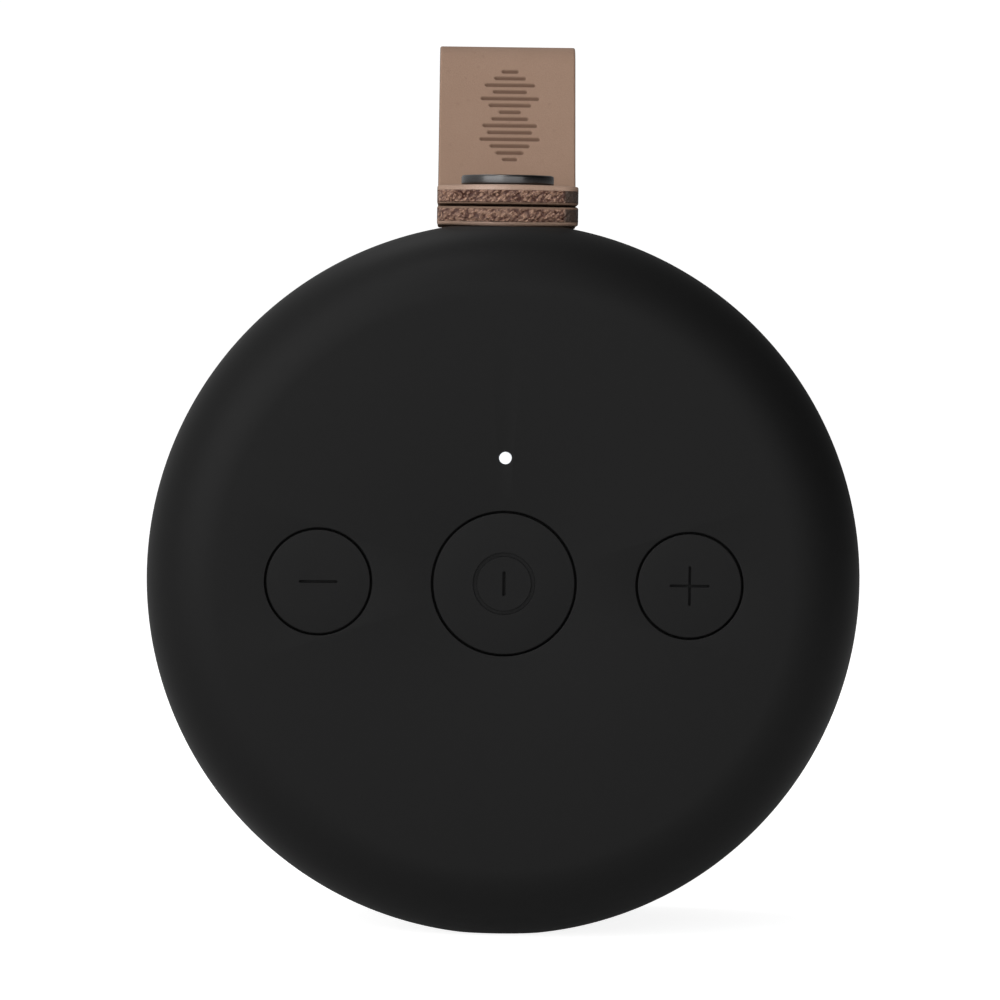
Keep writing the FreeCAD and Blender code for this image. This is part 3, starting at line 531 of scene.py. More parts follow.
STROKE_MARKS = {"volume_down": (5.4, 0.40), "power": (3.5, 0.46), "volume_up": (5.6, 0.38)}
MARK_DEPTH = 0.9
RING_MARK = (3.8, 4.4, 0.34)  # inner radius, outer radius, depth
RING_MARK_SLOPE = 0.04
FLANGE_REACH = 1.3  # how far a key's flange stands out behind the wall
FLANGE_Y = (-21.2, -20.4)
STEM = (2.0, -19.45)  # radius and end of the stem that meets the plunger
LIGHT_RADII = (0.85, 1.6)  # of the light pipe and of its flange
LIGHT_FLANGE_Y = (-21.2, -20.5)
LIGHT_END_Y = -17.1
LIGHT_HOLE = 0.9
FOOT_CORNER = 1.5
FOOT_GRID = (28, 120)  # points across and along
FOOT_EDGE = 0.25  # how far the rubber rounds up at its edge
FOOT_EDGE_SHARE = 0.06  # of the width
FOOT_END = 0.4
RIB_DEPTH = 0.06
RIB_PITCH = 1.6


def block(name, half_x, half_y, low, high, material):
    points = [(x, y, z) for z in (low, high) for x, y in
              ((-half_x, -half_y), (half_x, -half_y), (half_x, half_y), (-half_x, half_y))]
    faces = [(3, 2, 1, 0), (4, 5, 6, 7), (0, 1, 5, 4), (1, 2, 6, 5), (2, 3, 7, 6), (3, 0, 4, 7)]
    return from_faces(name, points, faces, material)


def flat_cutters(material):
    """The seat under the strap and the flat with its pocket round the foot."""
    half_x, half_y = half_size("resting_foot")
    play, play_above = POCKET_PLAY
    pocket_top = heights("resting_foot")[1] + play_above
    boxes = [(*FLAT_CUT, SEAT_LEVEL, FAR), (*FLAT_CUT, -FAR, -BELLY_LEVEL),
             (half_x + play, half_y + play, -FAR, pocket_top)]
    return [block("flat_cutter", *box, material) for box in boxes]


def hole_lip(radius):
    return rounded((radius, REAR_Y), (0, HOLE_LIP), (HOLE_LIP, 0), 6)


def hole_cutter(radius, x, z, material):
    """A round cutter that also softens the lip of the hole it leaves."""
    mouth = radius + HOLE_LIP + 0.2
    profile = [(0, REAR_Y + HOLE_DEPTH), (radius, REAR_Y + HOLE_DEPTH)] + hole_lip(radius)
    profile += [(mouth, REAR_Y - 0.02), (mouth, REAR_Y - 1), (0, REAR_Y - 1)]
    return lathe("hole_cutter", profile, material, 128, centre=(x, 0, z), phase=0.013)


def port_cutter(material):
    """The slot of the charging port, cut in from the side of the rim."""
    _, y, z = centre_of("usb_receptacle")
    cutter = stadium("port_cutter", *PORT_OPENING, PORT_CUT_Y, (0, 0, 0), material)
    cutter.data.transform(Matrix.Translation(-row(0, 0, 0)))
    cutter.data.transform(Matrix.Rotation(math.pi / 2, 4, "Y"))
    cutter.data.transform(Matrix.Rotation(math.pi / 2, 4, "Z"))
    cutter.data.transform(Matrix.Translation(row(BODY_RADIUS, y, z)))
    return cutter


def build_rear_shell(material):
    """Control face with the soft corner round it, pierced for the keys, the light and the port."""
    rim_y = REAR_Y + REAR_CORNER[1]
    inner = BODY_RADIUS - WALL
    inside_y = REAR_Y + WALL
    face_edge = BODY_RADIUS - REAR_CORNER[0]
    key_hole = KEY_RADII["power"] + GROOVE
    profile = hole_lip(key_hole)
    profile += rounded((BODY_RADIUS, REAR_Y), (-REAR_CORNER[0], 0), (0, REAR_CORNER[1]), 40)
    profile += [(BODY_RADIUS, y) for y in (-8, -4, 0, 4, 8)]
    profile += rounded((BODY_RADIUS, PARTING_Y), (0, -PARTING_EDGE), (-PARTING_EDGE, 0), 5)
    profile += [(inner, PARTING_Y), (inner, rim_y)]
    profile += rounded((inner, inside_y), (0, rim_y - inside_y), (face_edge - inner, 0), 16)[1:]
    profile += [(key_hole, inside_y)]
    shell = lathe("rear_shell_skin", profile, material, SHELL_SEGMENTS, closed=True)
    cutters = flat_cutters(material)
    for key in ("volume_down", "volume_up"):
        x = centre_of(key + "_button")[0]
        cutters.append(hole_cutter(KEY_RADII[key] + GROOVE, x, 0, material))
    light_x, _, light_z = centre_of("status_light_pipe")
    cutters.append(hole_cutter(LIGHT_HOLE, light_x, light_z, material))
    cutters.append(port_cutter(material))
    cut_away(shell, cutters)
    show(shell, "housing", "rear_shell")


def build_front_shell(material):
    """The other half of the housing, with the baffle and the step that the grille sits in."""
    opening, seat_y = GRILLE_SEAT
    lip, mouth = GRILLE_LIP
    spigot_in, spigot_out, spigot_depth = SPIGOT
    start = PARTING_Y + REVEAL
    profile = [(BAFFLE_HOLE, y) for y in BAFFLE_Y]
    profile += [(opening, BAFFLE_Y[1]), (opening, seat_y - 0.2), (opening + 0.2, seat_y),
                (lip, seat_y), (lip, FRONT_Y - mouth)]
    profile += rounded((lip, FRONT_Y), (0, -mouth), (mouth, 0), 5)[1:]
    profile += rounded((BODY_RADIUS, FRONT_Y), (-FRONT_CORNER[0], 0), (0, -FRONT_CORNER[1]), 28)
    profile += [(BODY_RADIUS, 15.0)]
    profile += rounded((BODY_RADIUS, start), (0, PARTING_EDGE), (-PARTING_EDGE, 0), 5)
    profile += [(spigot_out, start), (spigot_out, start - spigot_depth),
                (spigot_in, start - spigot_depth), (spigot_in, LIP_BACK_Y),
                (BAFFLE_EDGE, LIP_BACK_Y), (BAFFLE_EDGE, BAFFLE_Y[0])]
    shell = lathe("front_shell_skin", profile, material, SHELL_SEGMENTS, closed=True)
    cut_away(shell, flat_cutters(material))
    show(shell, "housing", "front_shell")


def build_key(key, material):
    """A key cap with a softened edge and its mark engraved in the face."""
    node = key + "_button"
    x = centre_of(node)[0]
    radius = KEY_RADII[key]
    flange = radius + FLANGE_REACH
    stem, stem_end = STEM
    profile = [(0, REAR_Y), (radius * 0.3, REAR_Y)]
    if key == "power":
        inner, outer, depth = RING_MARK
        profile += [(inner, REAR_Y), (inner + RING_MARK_SLOPE, REAR_Y + depth),
                    (outer - RING_MARK_SLOPE, REAR_Y + depth), (outer, REAR_Y)]
    profile += rounded((radius, REAR_Y), (-KEY_EDGE, 0), (0, KEY_EDGE), 6)
    profile += [(radius, FLANGE_Y[0]), (flange, FLANGE_Y[0]), (flange, FLANGE_Y[1]),
                (stem, FLANGE_Y[1]), (stem, stem_end), (0, stem_end)]
    cap = lathe(node + "_cap", profile, material, KEY_SEGMENTS, centre=(x, 0, 0), phase=0.017)
    strokes = {"volume_down": (True,), "power": (False,), "volume_up": (True, False)}[key]
    depth = (REAR_Y - 1, REAR_Y + MARK_DEPTH)
    cut_away(cap, [stadium("mark", *STROKE_MARKS[key], depth, (x, 0, 0), material, along_x)
                   for along_x in strokes])
    show(cap, key + "_key", node)


def build_light(material):
    """The light pipe, very slightly crowned where it shows."""
    x, _, z = centre_of("status_light_pipe")
    radius, flange = LIGHT_RADII
    profile = [(0, REAR_Y - 0.05), (0.4, REAR_Y - 0.035)]
    profile += rounded((radius, REAR_Y), (-0.15, 0), (0, 0.15), 4)
    profile += [(radius, LIGHT_FLANGE_Y[0]), (flange, LIGHT_FLANGE_Y[0]),
                (flange, LIGHT_FLANGE_Y[1]), (radius, LIGHT_FLANGE_Y[1]), (radius, LIGHT_END_Y),
                (0, LIGHT_END_Y)]
    lens = lathe("status_light_lens", profile, material, 48, centre=(x, 0, z))
    show(lens, "housing", "status_light_pipe")


def foot_underside(half_x, half_y, bottom):
    """Grid of points under the foot: shallow ribs across it, rounded up at its edges."""
    columns, rows = FOOT_GRID
    points = []
    for j in range(rows + 1):
        y = half_y * (2 * j / rows - 1)
        inset = max(0.0, abs(y) - (half_y - FOOT_CORNER))
        width = half_x - FOOT_CORNER + math.sqrt(max(FOOT_CORNER ** 2 - inset ** 2, 0.0))
        end = max(abs(y) - (half_y - FOOT_END), 0.0) / FOOT_END
        for i in range(columns + 1):
            x = width * (2 * i / columns - 1)
            edge = max(abs(x) - (1 - FOOT_EDGE_SHARE) * width, 0.0) / (FOOT_EDGE_SHARE * width)
            rib = RIB_DEPTH * max(math.sin(y * 2 * math.pi / RIB_PITCH), 0.0) * (1 - edge) * (1 - end)
            points.append((x, y, bottom + RIB_DEPTH - rib + FOOT_EDGE * max(edge, end) ** 2))
    return points


def build_foot(material):
    """The rubber foot with its rounded corners, closed by straight sides and a flat top."""
    columns, rows = FOOT_GRID
    bottom, top = heights("resting_foot")
    points = foot_underside(*half_size("resting_foot"), bottom)
    stride = columns + 1
    faces = [(a, a + stride, a + stride + 1, a + 1)
             for j in range(rows) for a in range(j * stride, j * stride + columns)]
    border = list(range(stride))
    border += [j * stride + columns for j in range(1, rows + 1)]
    border += [rows * stride + i for i in range(columns - 1, -1, -1)]
    border += [j * stride for j in range(rows - 1, 0, -1)]
    base = len(points)
    points += [(points[i][0], points[i][1], top) for i in border]
    count = len(border)
    faces += [(border[k], border[(k + 1) % count], base + (k + 1) % count, base + k)
              for k in range(count)]
    faces.append(tuple(range(base, base + count)))
    foot = from_faces("resting_foot_pad", points, faces, material, 50)
    show(foot, "housing", "resting_foot")


# ---------------------------------------------------------------- grille
GRILLE_RADIUS = 45.4
GRILLE_THICKNESS = 0.8
GRILLE_EDGE = 0.08  # rounding of the sheet's edges and of every hole
HOLE_RADIUS = 0.82
HOLE_PITCH = 2.35
PERFORATED_RADIUS = 42.4
CIRCLE_HANDLE = 0.5523  # length of a Bezier handle that makes a quarter circle, in radii


def add_circle(curve, x, z, radius, resolution):
    """A round outline in the sheet: its border or one hole."""
    handle = radius * CIRCLE_HANDLE
    spline = curve.splines.new("BEZIER")
    spline.bezier_points.add(3)
    spline.use_cyclic_u = True
    spline.resolution_u = resolution
    for point, (c, s) in zip(spline.bezier_points, ((1, 0), (0, 1), (-1, 0), (0, -1))):
        for part, reach in (("co", 0), ("handle_left", -handle), ("handle_right", handle)):
            place = (x + radius * c - reach * s, z + radius * s + reach * c)
            setattr(point, part, (place[0] * MM, place[1] * MM, 0))


def grille_outline():
    """A filled flat curve with round holes, extruded with softened edges."""
    curve = bpy.data.curves.new("grille_outline", "CURVE")
    curve.dimensions = "2D"
    curve.fill_mode = "BOTH"
    curve.extrude = (GRILLE_THICKNESS / 2 - GRILLE_EDGE) * MM
    curve.bevel_depth = GRILLE_EDGE * MM
    curve.bevel_resolution = 1
    curve.offset = -GRILLE_EDGE * MM
    curve.resolution_u = 3
    add_circle(curve, 0, 0, GRILLE_RADIUS, 40)
    rise = HOLE_PITCH * math.sqrt(0.75)
    rows = int(GRILLE_RADIUS / rise)
    count = int(GRILLE_RADIUS / HOLE_PITCH) + 1
    for j in range(-rows, rows + 1):
        for i in range(-count, count + 1):
            x = i * HOLE_PITCH + (HOLE_PITCH / 2 if j % 2 else 0)
            if math.hypot(x, j * rise) < PERFORATED_RADIUS:
                add_circle(curve, x, j * rise, HOLE_RADIUS, 3)
    return curve


def build_grille(material):
    """The perforated sheet, stood up in its seat."""
    outline = add_object("grille_outline", grille_outline())
    mesh = evaluated_mesh(outline)
    bpy.data.objects.remove(outline)
    middle_y = (GRILLE_LOW.y + GRILLE_HIGH.y) / 2
    turn = Matrix.Rotation(math.pi / 2, 4, "X")
    mesh.transform(Matrix.Translation((0, middle_y, AXIS_HEIGHT * MM)) @ turn)
    fix_normals(mesh, 1e-6)
    mesh.name = "grille_sheet"
    sheet = finish_mesh("grille_sheet", mesh, material, 35)
    show(sheet, "housing", "front_grille")


def build_cloth(material):
    """The cloth behind the grille, stretched flat with a slight inward sag."""
    low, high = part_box("grille_cloth")
    y0, y1 = low.y / MM, high.y / MM
    edge = half_size("grille_cloth")[0]
    rings = [edge * i / 24 for i in range(25)]
    sag = [0.12 * math.cos(math.pi / 2 * r / edge) for r in rings]
    profile = [(r, y1 - s - 0.02) for r, s in zip(rings, sag)]
    profile += [(r, y0 - s + 0.1) for r, s in reversed(list(zip(rings, sag)))]
    cloth = lathe("grille_cloth_sheet", profile, material, 96)
    show(cloth, "housing", "grille_cloth")


# ---------------------------------------------------------------- strap
LEATHER = 2.8
GAP = 0.4
HALF_WIDTH = 10.15
TIP_Y = -10.8
TIP_RADIUS = 42.0
TIP_CORNER = 2.2
SNAP_Y = -2.0
LOOP_ANGLE = 52.0  # lean of the loop above the horizontal, in degrees
LOOP_LENGTH = 24.0
EYE_RADIUS = 2.8
EYE_STEPS = 40
FLARE_ANGLE = 8.4
BEND_RADIUS = 5.0  # of the gap's middle line where the stack turns into the loop
FLARE_RADIUS = 20.0  # where a layer leaves the stack for the eye
SIDE_EDGE = 0.3  # rounding of the long outer edges
TIP_EDGES = (0.6, 0.75)  # rounding of the outer edge at the lower and the upper tip
TIP_INSETS = (0.0, 0.04, 0.12, 0.25, 0.45, 0.75)  # places of the rings that round off a tip
TIP_FADE = 7.0  # length over which the curve of a tip fades into straight rings
FLESH_EDGE = 0.2  # rounding of all the inner edges
SWELL = 0.13  # the soft inner side swells towards the other layer
STACK_LENGTH = 24  # from a tip, where the layers lie flat on each other
SEAM_Y = 7.4  # where the mesh of the loop's front meets that of the upper layer
SWING_SPAN = (-4.4, 4.4)  # where the lower layer bends, along the line that halves the lean
FOLD_SPAN = (4.4, -3.2)  # the same for the upper layer
LIFT_SPAN = (1.1, -1.3)  # where the upper layer bends, from the axis that it lifts about
COLUMNS = 150
ROWS = 18
COARSE_STEP = 0.42
FINE_STEP = 0.11

BARS = (2.4, 4.6, 7.4, 5.0, 8.6, 6.2, 3.2, 5.4, 8.0, 6.6, 8.8, 5.8, 4.0, 2.2)
BAR_PITCH = 1.18  # the pressed sound-level bars lie across the strap, one above another
BAR_HALF_WIDTH = 0.25
BAR_SIDE_SHIFT = 0.4
PRESS_DEPTH = 0.2
MOTIF = 17.6  # distance of the motif's middle from the top of the loop


def smooth(value):
    """Ease from 0 to 1."""
    share = min(max(value, 0.0), 1.0)
    return share * share * (3 - 2 * share)


def bend_axis():
    place = JOINTS["strap_swing"]["pos_m"]
    return place[1] / MM, place[2] / MM - AXIS_HEIGHT


def turn_point(y, z, angle, origin):
    c, s = math.cos(angle), math.sin(angle)
    return origin[0] + y * c - z * s, origin[1] + y * s + z * c


def filleted(points, radii, step):
    """Sample a polyline whose corners are rounded; gives (y, z) points in order."""
    samples = [points[0]]
    for before, corner, after, radius in zip(points, points[1:], points[2:], radii):
        arrive = Vector(corner) - Vector(before)
        leave = Vector(after) - Vector(corner)
        arrive.normalize()
        leave.normalize()
        turn = math.atan2(arrive.x * leave.y - arrive.y * leave.x, arrive.dot(leave))
        reach = radius * math.tan(abs(turn) / 2)
        start = Vector(corner) - arrive * reach
        side = Vector((-arrive.y, arrive.x)) * math.copysign(1.0, turn)
        middle = start + side * radius
        count = max(2, int(abs(turn) * radius / step) + 1)
        arm = start - middle
        for i in range(count + 1):
            samples.append(turn_point(arm.x, arm.y, turn * i / count, middle))
    samples.append(points[-1])
    return samples


def resampled(points, marks):
    """Points of a polyline at the given distances along it, as (y, z, distance)."""
    lengths = [0.0]
    for a, b in zip(points, points[1:]):
        lengths.append(lengths[-1] + math.dist(a, b))
    places = []
    k = 0
    for s in marks(lengths[-1]):
        while k < len(points) - 2 and lengths[k + 1] < s:
            k += 1
        share = (s - lengths[k]) / max(lengths[k + 1] - lengths[k], 1e-9)
        y = points[k][0] + (points[k + 1][0] - points[k][0]) * share
        z = points[k][1] + (points[k + 1][1] - points[k][1]) * share
        places.append((y, z, s))
    return places


def strip_marks(total):
    """Distances of the rings along the strip, close together where the motif is pressed in."""
    half_motif = len(BARS) * BAR_PITCH / 2 + 0.5
    low = total / 2 + MOTIF - half_motif
    high = total / 2 + MOTIF + half_motif
    marks = []
    for start, end, step in ((0.0, low, COARSE_STEP), (low, high, FINE_STEP),
                             (high, total, COARSE_STEP)):
        count = round((end - start) / step)
        marks += [start + (end - start) * i / count for i in range(count)]
    return marks + [total]


def strap_line():
    """Middle line of the whole strip, from the lower tip round the eye to the upper tip."""
    bend = bend_axis()
    half = (LEATHER + GAP) / 2
    lean = math.radians(LOOP_ANGLE)
    flare = math.radians(FLARE_ANGLE)
    fold = EYE_RADIUS + LEATHER / 2
    corner_u = LOOP_LENGTH - fold * math.sin(flare) \
        - (fold * math.cos(flare) - half) / math.tan(flare)
    shift = half * math.tan(lean / 2)
    lower = [(TIP_Y, bend[1] - half), (bend[0] + shift, bend[1] - half)]
    upper = [(bend[0] - shift, bend[1] + half), (TIP_Y, bend[1] + half)]
    out = turn_point(corner_u, -half, lean, bend)
    back = turn_point(corner_u, half, lean, bend)
    eye = []
    for i in range(EYE_STEPS + 1):
        angle = -math.pi / 2 - flare + (math.pi + 2 * flare) * i / EYE_STEPS
        u = LOOP_LENGTH + fold * math.cos(angle)
        v = fold * math.sin(angle)
        eye.append(turn_point(u, v, lean, bend))
    first = filleted([*lower, out, eye[0]], [BEND_RADIUS + half, FLARE_RADIUS], 0.1)
    last = filleted([eye[-1], back, *upper], [FLARE_RADIUS, BEND_RADIUS - half], 0.1)
    return first + eye[1:-1] + last


def strap_stations():
    """Places of the rings along the strip, as (y, z, heading, distance)."""
    places = resampled(strap_line(), strip_marks)
    stations = []
    for i, (y, z, s) in enumerate(places):
        a = places[max(i - 1, 0)]
        b = places[min(i + 1, len(places) - 1)]
        stations.append((y, z, math.atan2(b[1] - a[1], b[0] - a[0]), s))
    return stations


def tip_setback(x):
    """How far the rounded tip falls back from its foremost point at this x."""
    setback = TIP_RADIUS - math.sqrt(TIP_RADIUS ** 2 - x ** 2)
    over = min(max(abs(x) - (HALF_WIDTH - TIP_CORNER), 0.0), TIP_CORNER)
    return setback + TIP_CORNER - math.sqrt(TIP_CORNER ** 2 - over ** 2)


def section_point(across, through, thin_outer, thin_inner):
    """Cross-section point with rounded edges; across and through run from -1 to 1."""
    x = across * HALF_WIDTH
    level = LEATHER / 2 - (thin_outer if through > 0 else thin_inner)
    radius = SIDE_EDGE if through > 0 else FLESH_EDGE
    n = through * level
    inset_x = HALF_WIDTH - radius
    inset_n = max(level - radius, 0.0)
    dx = max(abs(x) - inset_x, 0.0)
    dn = max(abs(n) - inset_n, 0.0)
    length = math.hypot(dx, dn)
    if dx > 0 and dn > 0:
        x = math.copysign(inset_x + radius * dx / length, x)
        n = math.copysign(inset_n + min(radius, level) * dn / length, n)
    return x, n


def perimeter():
    """Places across the strip, and the (across, through) loop round its cross-section."""
    even = [2 * i / COLUMNS - 1 for i in range(COLUMNS + 1)]
    spread = [0.3 * math.sin(math.pi / 2 * e) + 0.7 * e for e in even]
    outer = [(a, 1.0) for a in spread]
    right = [(1.0, 1 - 2 * j / ROWS) for j in range(1, ROWS)]
    inner = [(a, -1.0) for a in reversed(spread)]
    left = [(-1.0, -1 + 2 * j / ROWS) for j in range(1, ROWS)]
    return spread, outer + right + inner + left


def pressed_depth(x, along):
    """Depth share of the pressed bars at a place on the front of the loop."""
    i = round(along / BAR_PITCH + (len(BARS) - 1) / 2)
    if not 0 <= i < len(BARS):
        return 0.0
    from_bar = along - (i - (len(BARS) - 1) / 2) * BAR_PITCH
    reach = max(abs(x - BAR_SIDE_SHIFT) - (BARS[i] / 2 - BAR_HALF_WIDTH), 0.0)
    return smooth((BAR_HALF_WIDTH + 0.12 - math.hypot(from_bar, reach)) / 0.18)


def crowned(x, y_from_snap):
    """The leather lifts a little round the snap and thins towards its corners."""
    away = math.hypot(x, y_from_snap)
    return 0.09 * math.exp(-(away / 6.5) ** 2) - 0.2 * (x / HALF_WIDTH) ** 2


def gloss_and_highlight_share(x):
    """Share of gloss along a tip's outer edge, strongest left of its middle; the same share places the painted
    highlight that pales that edge.
    """
    return 0.25 + 0.75 * math.exp(-((x + 2.9) / 3.2) ** 2)


def shaded_end_share(x):
    """The side edges are burnished dark; the right-hand end of each tip is darkened over this share as painted
    shade, where it turns away from the light.
    """
    return smooth((x - 7.9) / 0.5)


def edge_drop(radius, into):
    """How far a rounded edge of this radius lies below its flat, this far in from the end."""
    return radius - math.sqrt(radius ** 2 - max(radius - into, 0.0) ** 2)


def torn_relief(x, n, seed):
    """Height of the slanting torn fibres on a cut tip."""
    along, over = x * 0.66 + n * 0.75, x * 0.75 - n * 0.66
    clumps = noise.noise(Vector((along * 0.9, over * 1.9, seed)))
    strands = noise.noise(Vector((along * 1.4, over * 3.6, seed + 7.3)))
    return 0.05 + 0.16 * clumps + 0.34 * strands


class Strip:
    """Collects the points of one piece of the strap with what their finish needs to know."""

    def __init__(self, total):
        self.total = total
        self.spread, self.ring = perimeter()
        self.points = []
        self.faces = []
        self.places = []
        self.finish = []

    def add(self, station, across, through, advance=0.0, thin=(0.0, 0.0), torn=0.0, tip_gloss_and_highlight=0.0):
        """One point of the surface, moved along the strip by advance and thinned on its sides."""
        y, z, heading, s = station
        x, n = section_point(across, through, *thin)
        from_tip = min(s, self.total - s)
        if from_tip < STACK_LENGTH and abs(math.sin(heading)) < 0.02:
            if through > 0:
                n *= 1 + crowned(x, y - SNAP_Y) / (LEATHER / 2)
            elif through == -1.0:
                inside = smooth((from_tip - 0.9) / 1.2) * smooth((10.12 - abs(x)) / 0.3)
                n -= SWELL * inside
        depth = 0.0
        if through == 1.0:
            depth = pressed_depth(x, s - self.total / 2 - MOTIF)
            n -= PRESS_DEPTH * depth
        y += advance * math.cos(heading)
        z += advance * math.sin(heading)
        on_side = abs(across) == 1.0 and abs(through) < 1
        self.points.append((x, y + n * math.sin(heading), z - n * math.cos(heading)))
        self.places.append((x, s + advance, n))
        # the second value is 1 on the dyed side edges, and painted shade towards the right-hand end of each tip
        self.finish.append((0.0 if on_side else torn, 1.0 if on_side else shaded_end_share(x) * torn,
                            depth, 1.0 if through == -1.0 else 0.0,
                            tip_gloss_and_highlight * gloss_and_highlight_share(x) if through > 0 else 0.0,
                            1.0 if s > self.total / 2 else 0.0))
        return len(self.points) - 1

    def add_body_ring(self, station):
        """A ring that follows the curve of the nearer tip, less and less away from it."""
        s = station[3]
        sign, from_tip = (1.0, s) if s < self.total / 2 else (-1.0, self.total - s)
        squeeze = sign * max(1 - from_tip / TIP_FADE, 0.0)
        # gloss that rises towards the tip, which also places the painted highlight on its edge
        tip_gloss_and_highlight = smooth((2.2 - from_tip) / 1.6)
        for across, through in self.ring:
            x, _ = section_point(across, through, 0, 0)
            self.add(station, across, through, tip_setback(x) * squeeze, tip_gloss_and_highlight=tip_gloss_and_highlight)

    def add_tip_rings(self, station, insets, sign, edge):
        """Rings that round off a tip, each this far back from its end along the strip."""
        for into in insets:
            thin = (edge_drop(edge, into), edge_drop(FLESH_EDGE, into))
            for across, through in self.ring:
                x, _ = section_point(across, through, 0, 0)
                back = tip_setback(x) * (1 - into / TIP_FADE)
                self.add(station, across, through, sign * (into + back), thin,
                         torn=1.0 if abs(through) < 1 else 0.0, tip_gloss_and_highlight=1.0 - 0.3 * into)

    def close_tip(self, station, ring_start, sign, edge):
        """Fill the cut end with a grid whose inner points stand out as torn fibres."""
        grid = {}
        for j in range(COLUMNS + 1):
            grid[j, 0] = ring_start + j
            grid[j, ROWS] = ring_start + COLUMNS + ROWS + (COLUMNS - j)
        for r in range(1, ROWS):
            grid[COLUMNS, r] = ring_start + COLUMNS + r
            grid[0, r] = ring_start + len(self.ring) - r
        for r in range(1, ROWS):
            through = 1 - 2 * r / ROWS
            for j in range(1, COLUMNS):
                across = self.spread[j]
                x = across * HALF_WIDTH
                inside = min(1.0, (1 - abs(across)) * 14) * min(1.0, (1 - abs(through)) * 4)
                relief = torn_relief(x, through * sign * 1.1, sign * 3.1)
                relief *= inside * (1 - shaded_end_share(x))
                grid[j, r] = self.add(station, across, through, sign * (tip_setback(x) - relief),
                                      (edge, FLESH_EDGE), torn=1.0)
        self.faces += [(grid[j, r], grid[j + 1, r], grid[j + 1, r + 1], grid[j, r + 1])
                       for r in range(ROWS) for j in range(COLUMNS)]

    def store(self, mesh):
        """Write what the leather finish reads at each point."""
        labels = ("torn", "dressed", "pressed", "inner", "polished", "upper")
        for label, values in zip(labels, zip(*self.finish)):
            layer = mesh.attributes.new(label, "FLOAT", "POINT")
            layer.data.foreach_set("value", values)
        layer = mesh.attributes.new("strip", "FLOAT_VECTOR", "POINT")
        layer.data.foreach_set("vector", [c for place in self.places for c in place])


def strap_piece(name, stations, first, last, material):
    """One mesh of the strip between two stations, with a torn end where it has a tip."""
    strip = Strip(stations[-1][3])
    has_lower_tip = first == 0
    has_upper_tip = last == len(stations) - 1
    if has_lower_tip:
        strip.add_tip_rings(stations[0], TIP_INSETS, 1.0, TIP_EDGES[0])
    for station in stations[first:last + 1]:
        if min(station[3], strip.total - station[3]) > TIP_INSETS[-1] + 0.15:
            strip.add_body_ring(station)
    if has_upper_tip:
        strip.add_tip_rings(stations[-1], TIP_INSETS[::-1], -1.0, TIP_EDGES[1])
    count = len(strip.ring)
    rings = len(strip.points) // count
    strip.faces = skin(rings, count)
    if has_lower_tip:
        strip.close_tip(stations[0], 0, 1.0, TIP_EDGES[0])
    if has_upper_tip:
        strip.close_tip(stations[-1], (rings - 1) * count, -1.0, TIP_EDGES[1])
    piece = from_faces(name, strip.points, strip.faces, material, 60)
    strip.store(piece.data)
    return piece


def build_strap(material):
    """The strip as one run of stations, cut into three pieces."""
    stations = strap_stations()
    apex = stations[-1][3] / 2
    apex_index = next(i for i, s in enumerate(stations) if s[3] >= apex)
    seam = next(i for i, s in enumerate(stations)
                if s[3] > apex and math.cos(s[2]) < -0.99 and s[0] < SEAM_Y)
    spans = (("strap_back", 0, apex_index), ("strap_front", apex_index, seam),
             ("strap_tip", seam, len(stations) - 1))
    return [strap_piece(name, stations, first, last, material) for name, first, last in spans]


def bend_strap(pieces):
    """Bake each piece of the strip where it lies and hide the CAD nodes of the strap; the spans where the pieces
    meet are worked out but not used.
    """
    bend = bend_axis()
    half_lean = math.radians(LOOP_ANGLE) / 2
    along = (math.cos(half_lean), math.sin(half_lean))
    spans = [[row(0, bend[0] + along[0] * distance, bend[1] + along[1] * distance)
              for distance in span] for span in (SWING_SPAN, FOLD_SPAN)]
    lift = JOINTS["snap_lift"]["pos_m"]
    spans.append([(0, lift[1] + distance * MM, lift[2]) for distance in LIFT_SPAN])
    bodies = ("strap_base", "strap_loop", "strap_tab_root", "strap_tab")
    for piece, before, after, (start, end) in zip(pieces, bodies, bodies[1:], spans):
        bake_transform(piece)
    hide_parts("strap_base")
    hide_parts("strap_loop", "strap_tab_root")
    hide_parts("strap_tab")


# ---------------------------------------------------------------- snap cap
CAP_HEIGHT = 1.5
CAP_SHOULDER = 0.36
CAP_DOME = 0.04  # rise of the middle above the shoulder
CAP_SKIRT = 0.3
CAP_SHANK = (1.2, 0.7)  # radius, and depth below the cap


def local_attribute(piece, centre):
    """Keep each point's place from the piece's own axis, in millimetres, for its finish."""
    origin = row(*centre)
    layer = piece.data.attributes.new("local", "FLOAT_VECTOR", "POINT")
    values = []
    for vertex in piece.data.vertices:
        values += list((vertex.co - origin) / MM)
    layer.data.foreach_set("vector", values)


def build_cap(material):
    """The domed snap cap, its skirt pressed into the leather."""
    radius = half_size("snap_cap")[0]
    top = heights("snap_cap")[1]
    base = top - CAP_HEIGHT
    skirt = base + 0.02
    edge = top - CAP_DOME
    flat = radius - CAP_SHOULDER
    shank, below = CAP_SHANK
    profile = [(0, base - below), (shank, base - below), (shank, skirt), (radius - CAP_SKIRT, skirt)]
    profile += rounded((radius, skirt), (-CAP_SKIRT, 0), (0, base + CAP_SKIRT - skirt), 5)
    profile += rounded((radius, edge), (0, -CAP_SHOULDER), (-CAP_SHOULDER, 0), 8)
    for i in range(1, 9):
        r = flat * (1 - i / 8)
        profile.append((r, top - CAP_DOME * (r / flat) ** 2))
    cap = lathe("snap_cap_dome", profile, material, KEY_SEGMENTS, about_y=False,
                centre=(0, SNAP_Y, 0))
    local_attribute(cap, (0, SNAP_Y, base))
    show(cap, "strap_tab", "snap_cap")


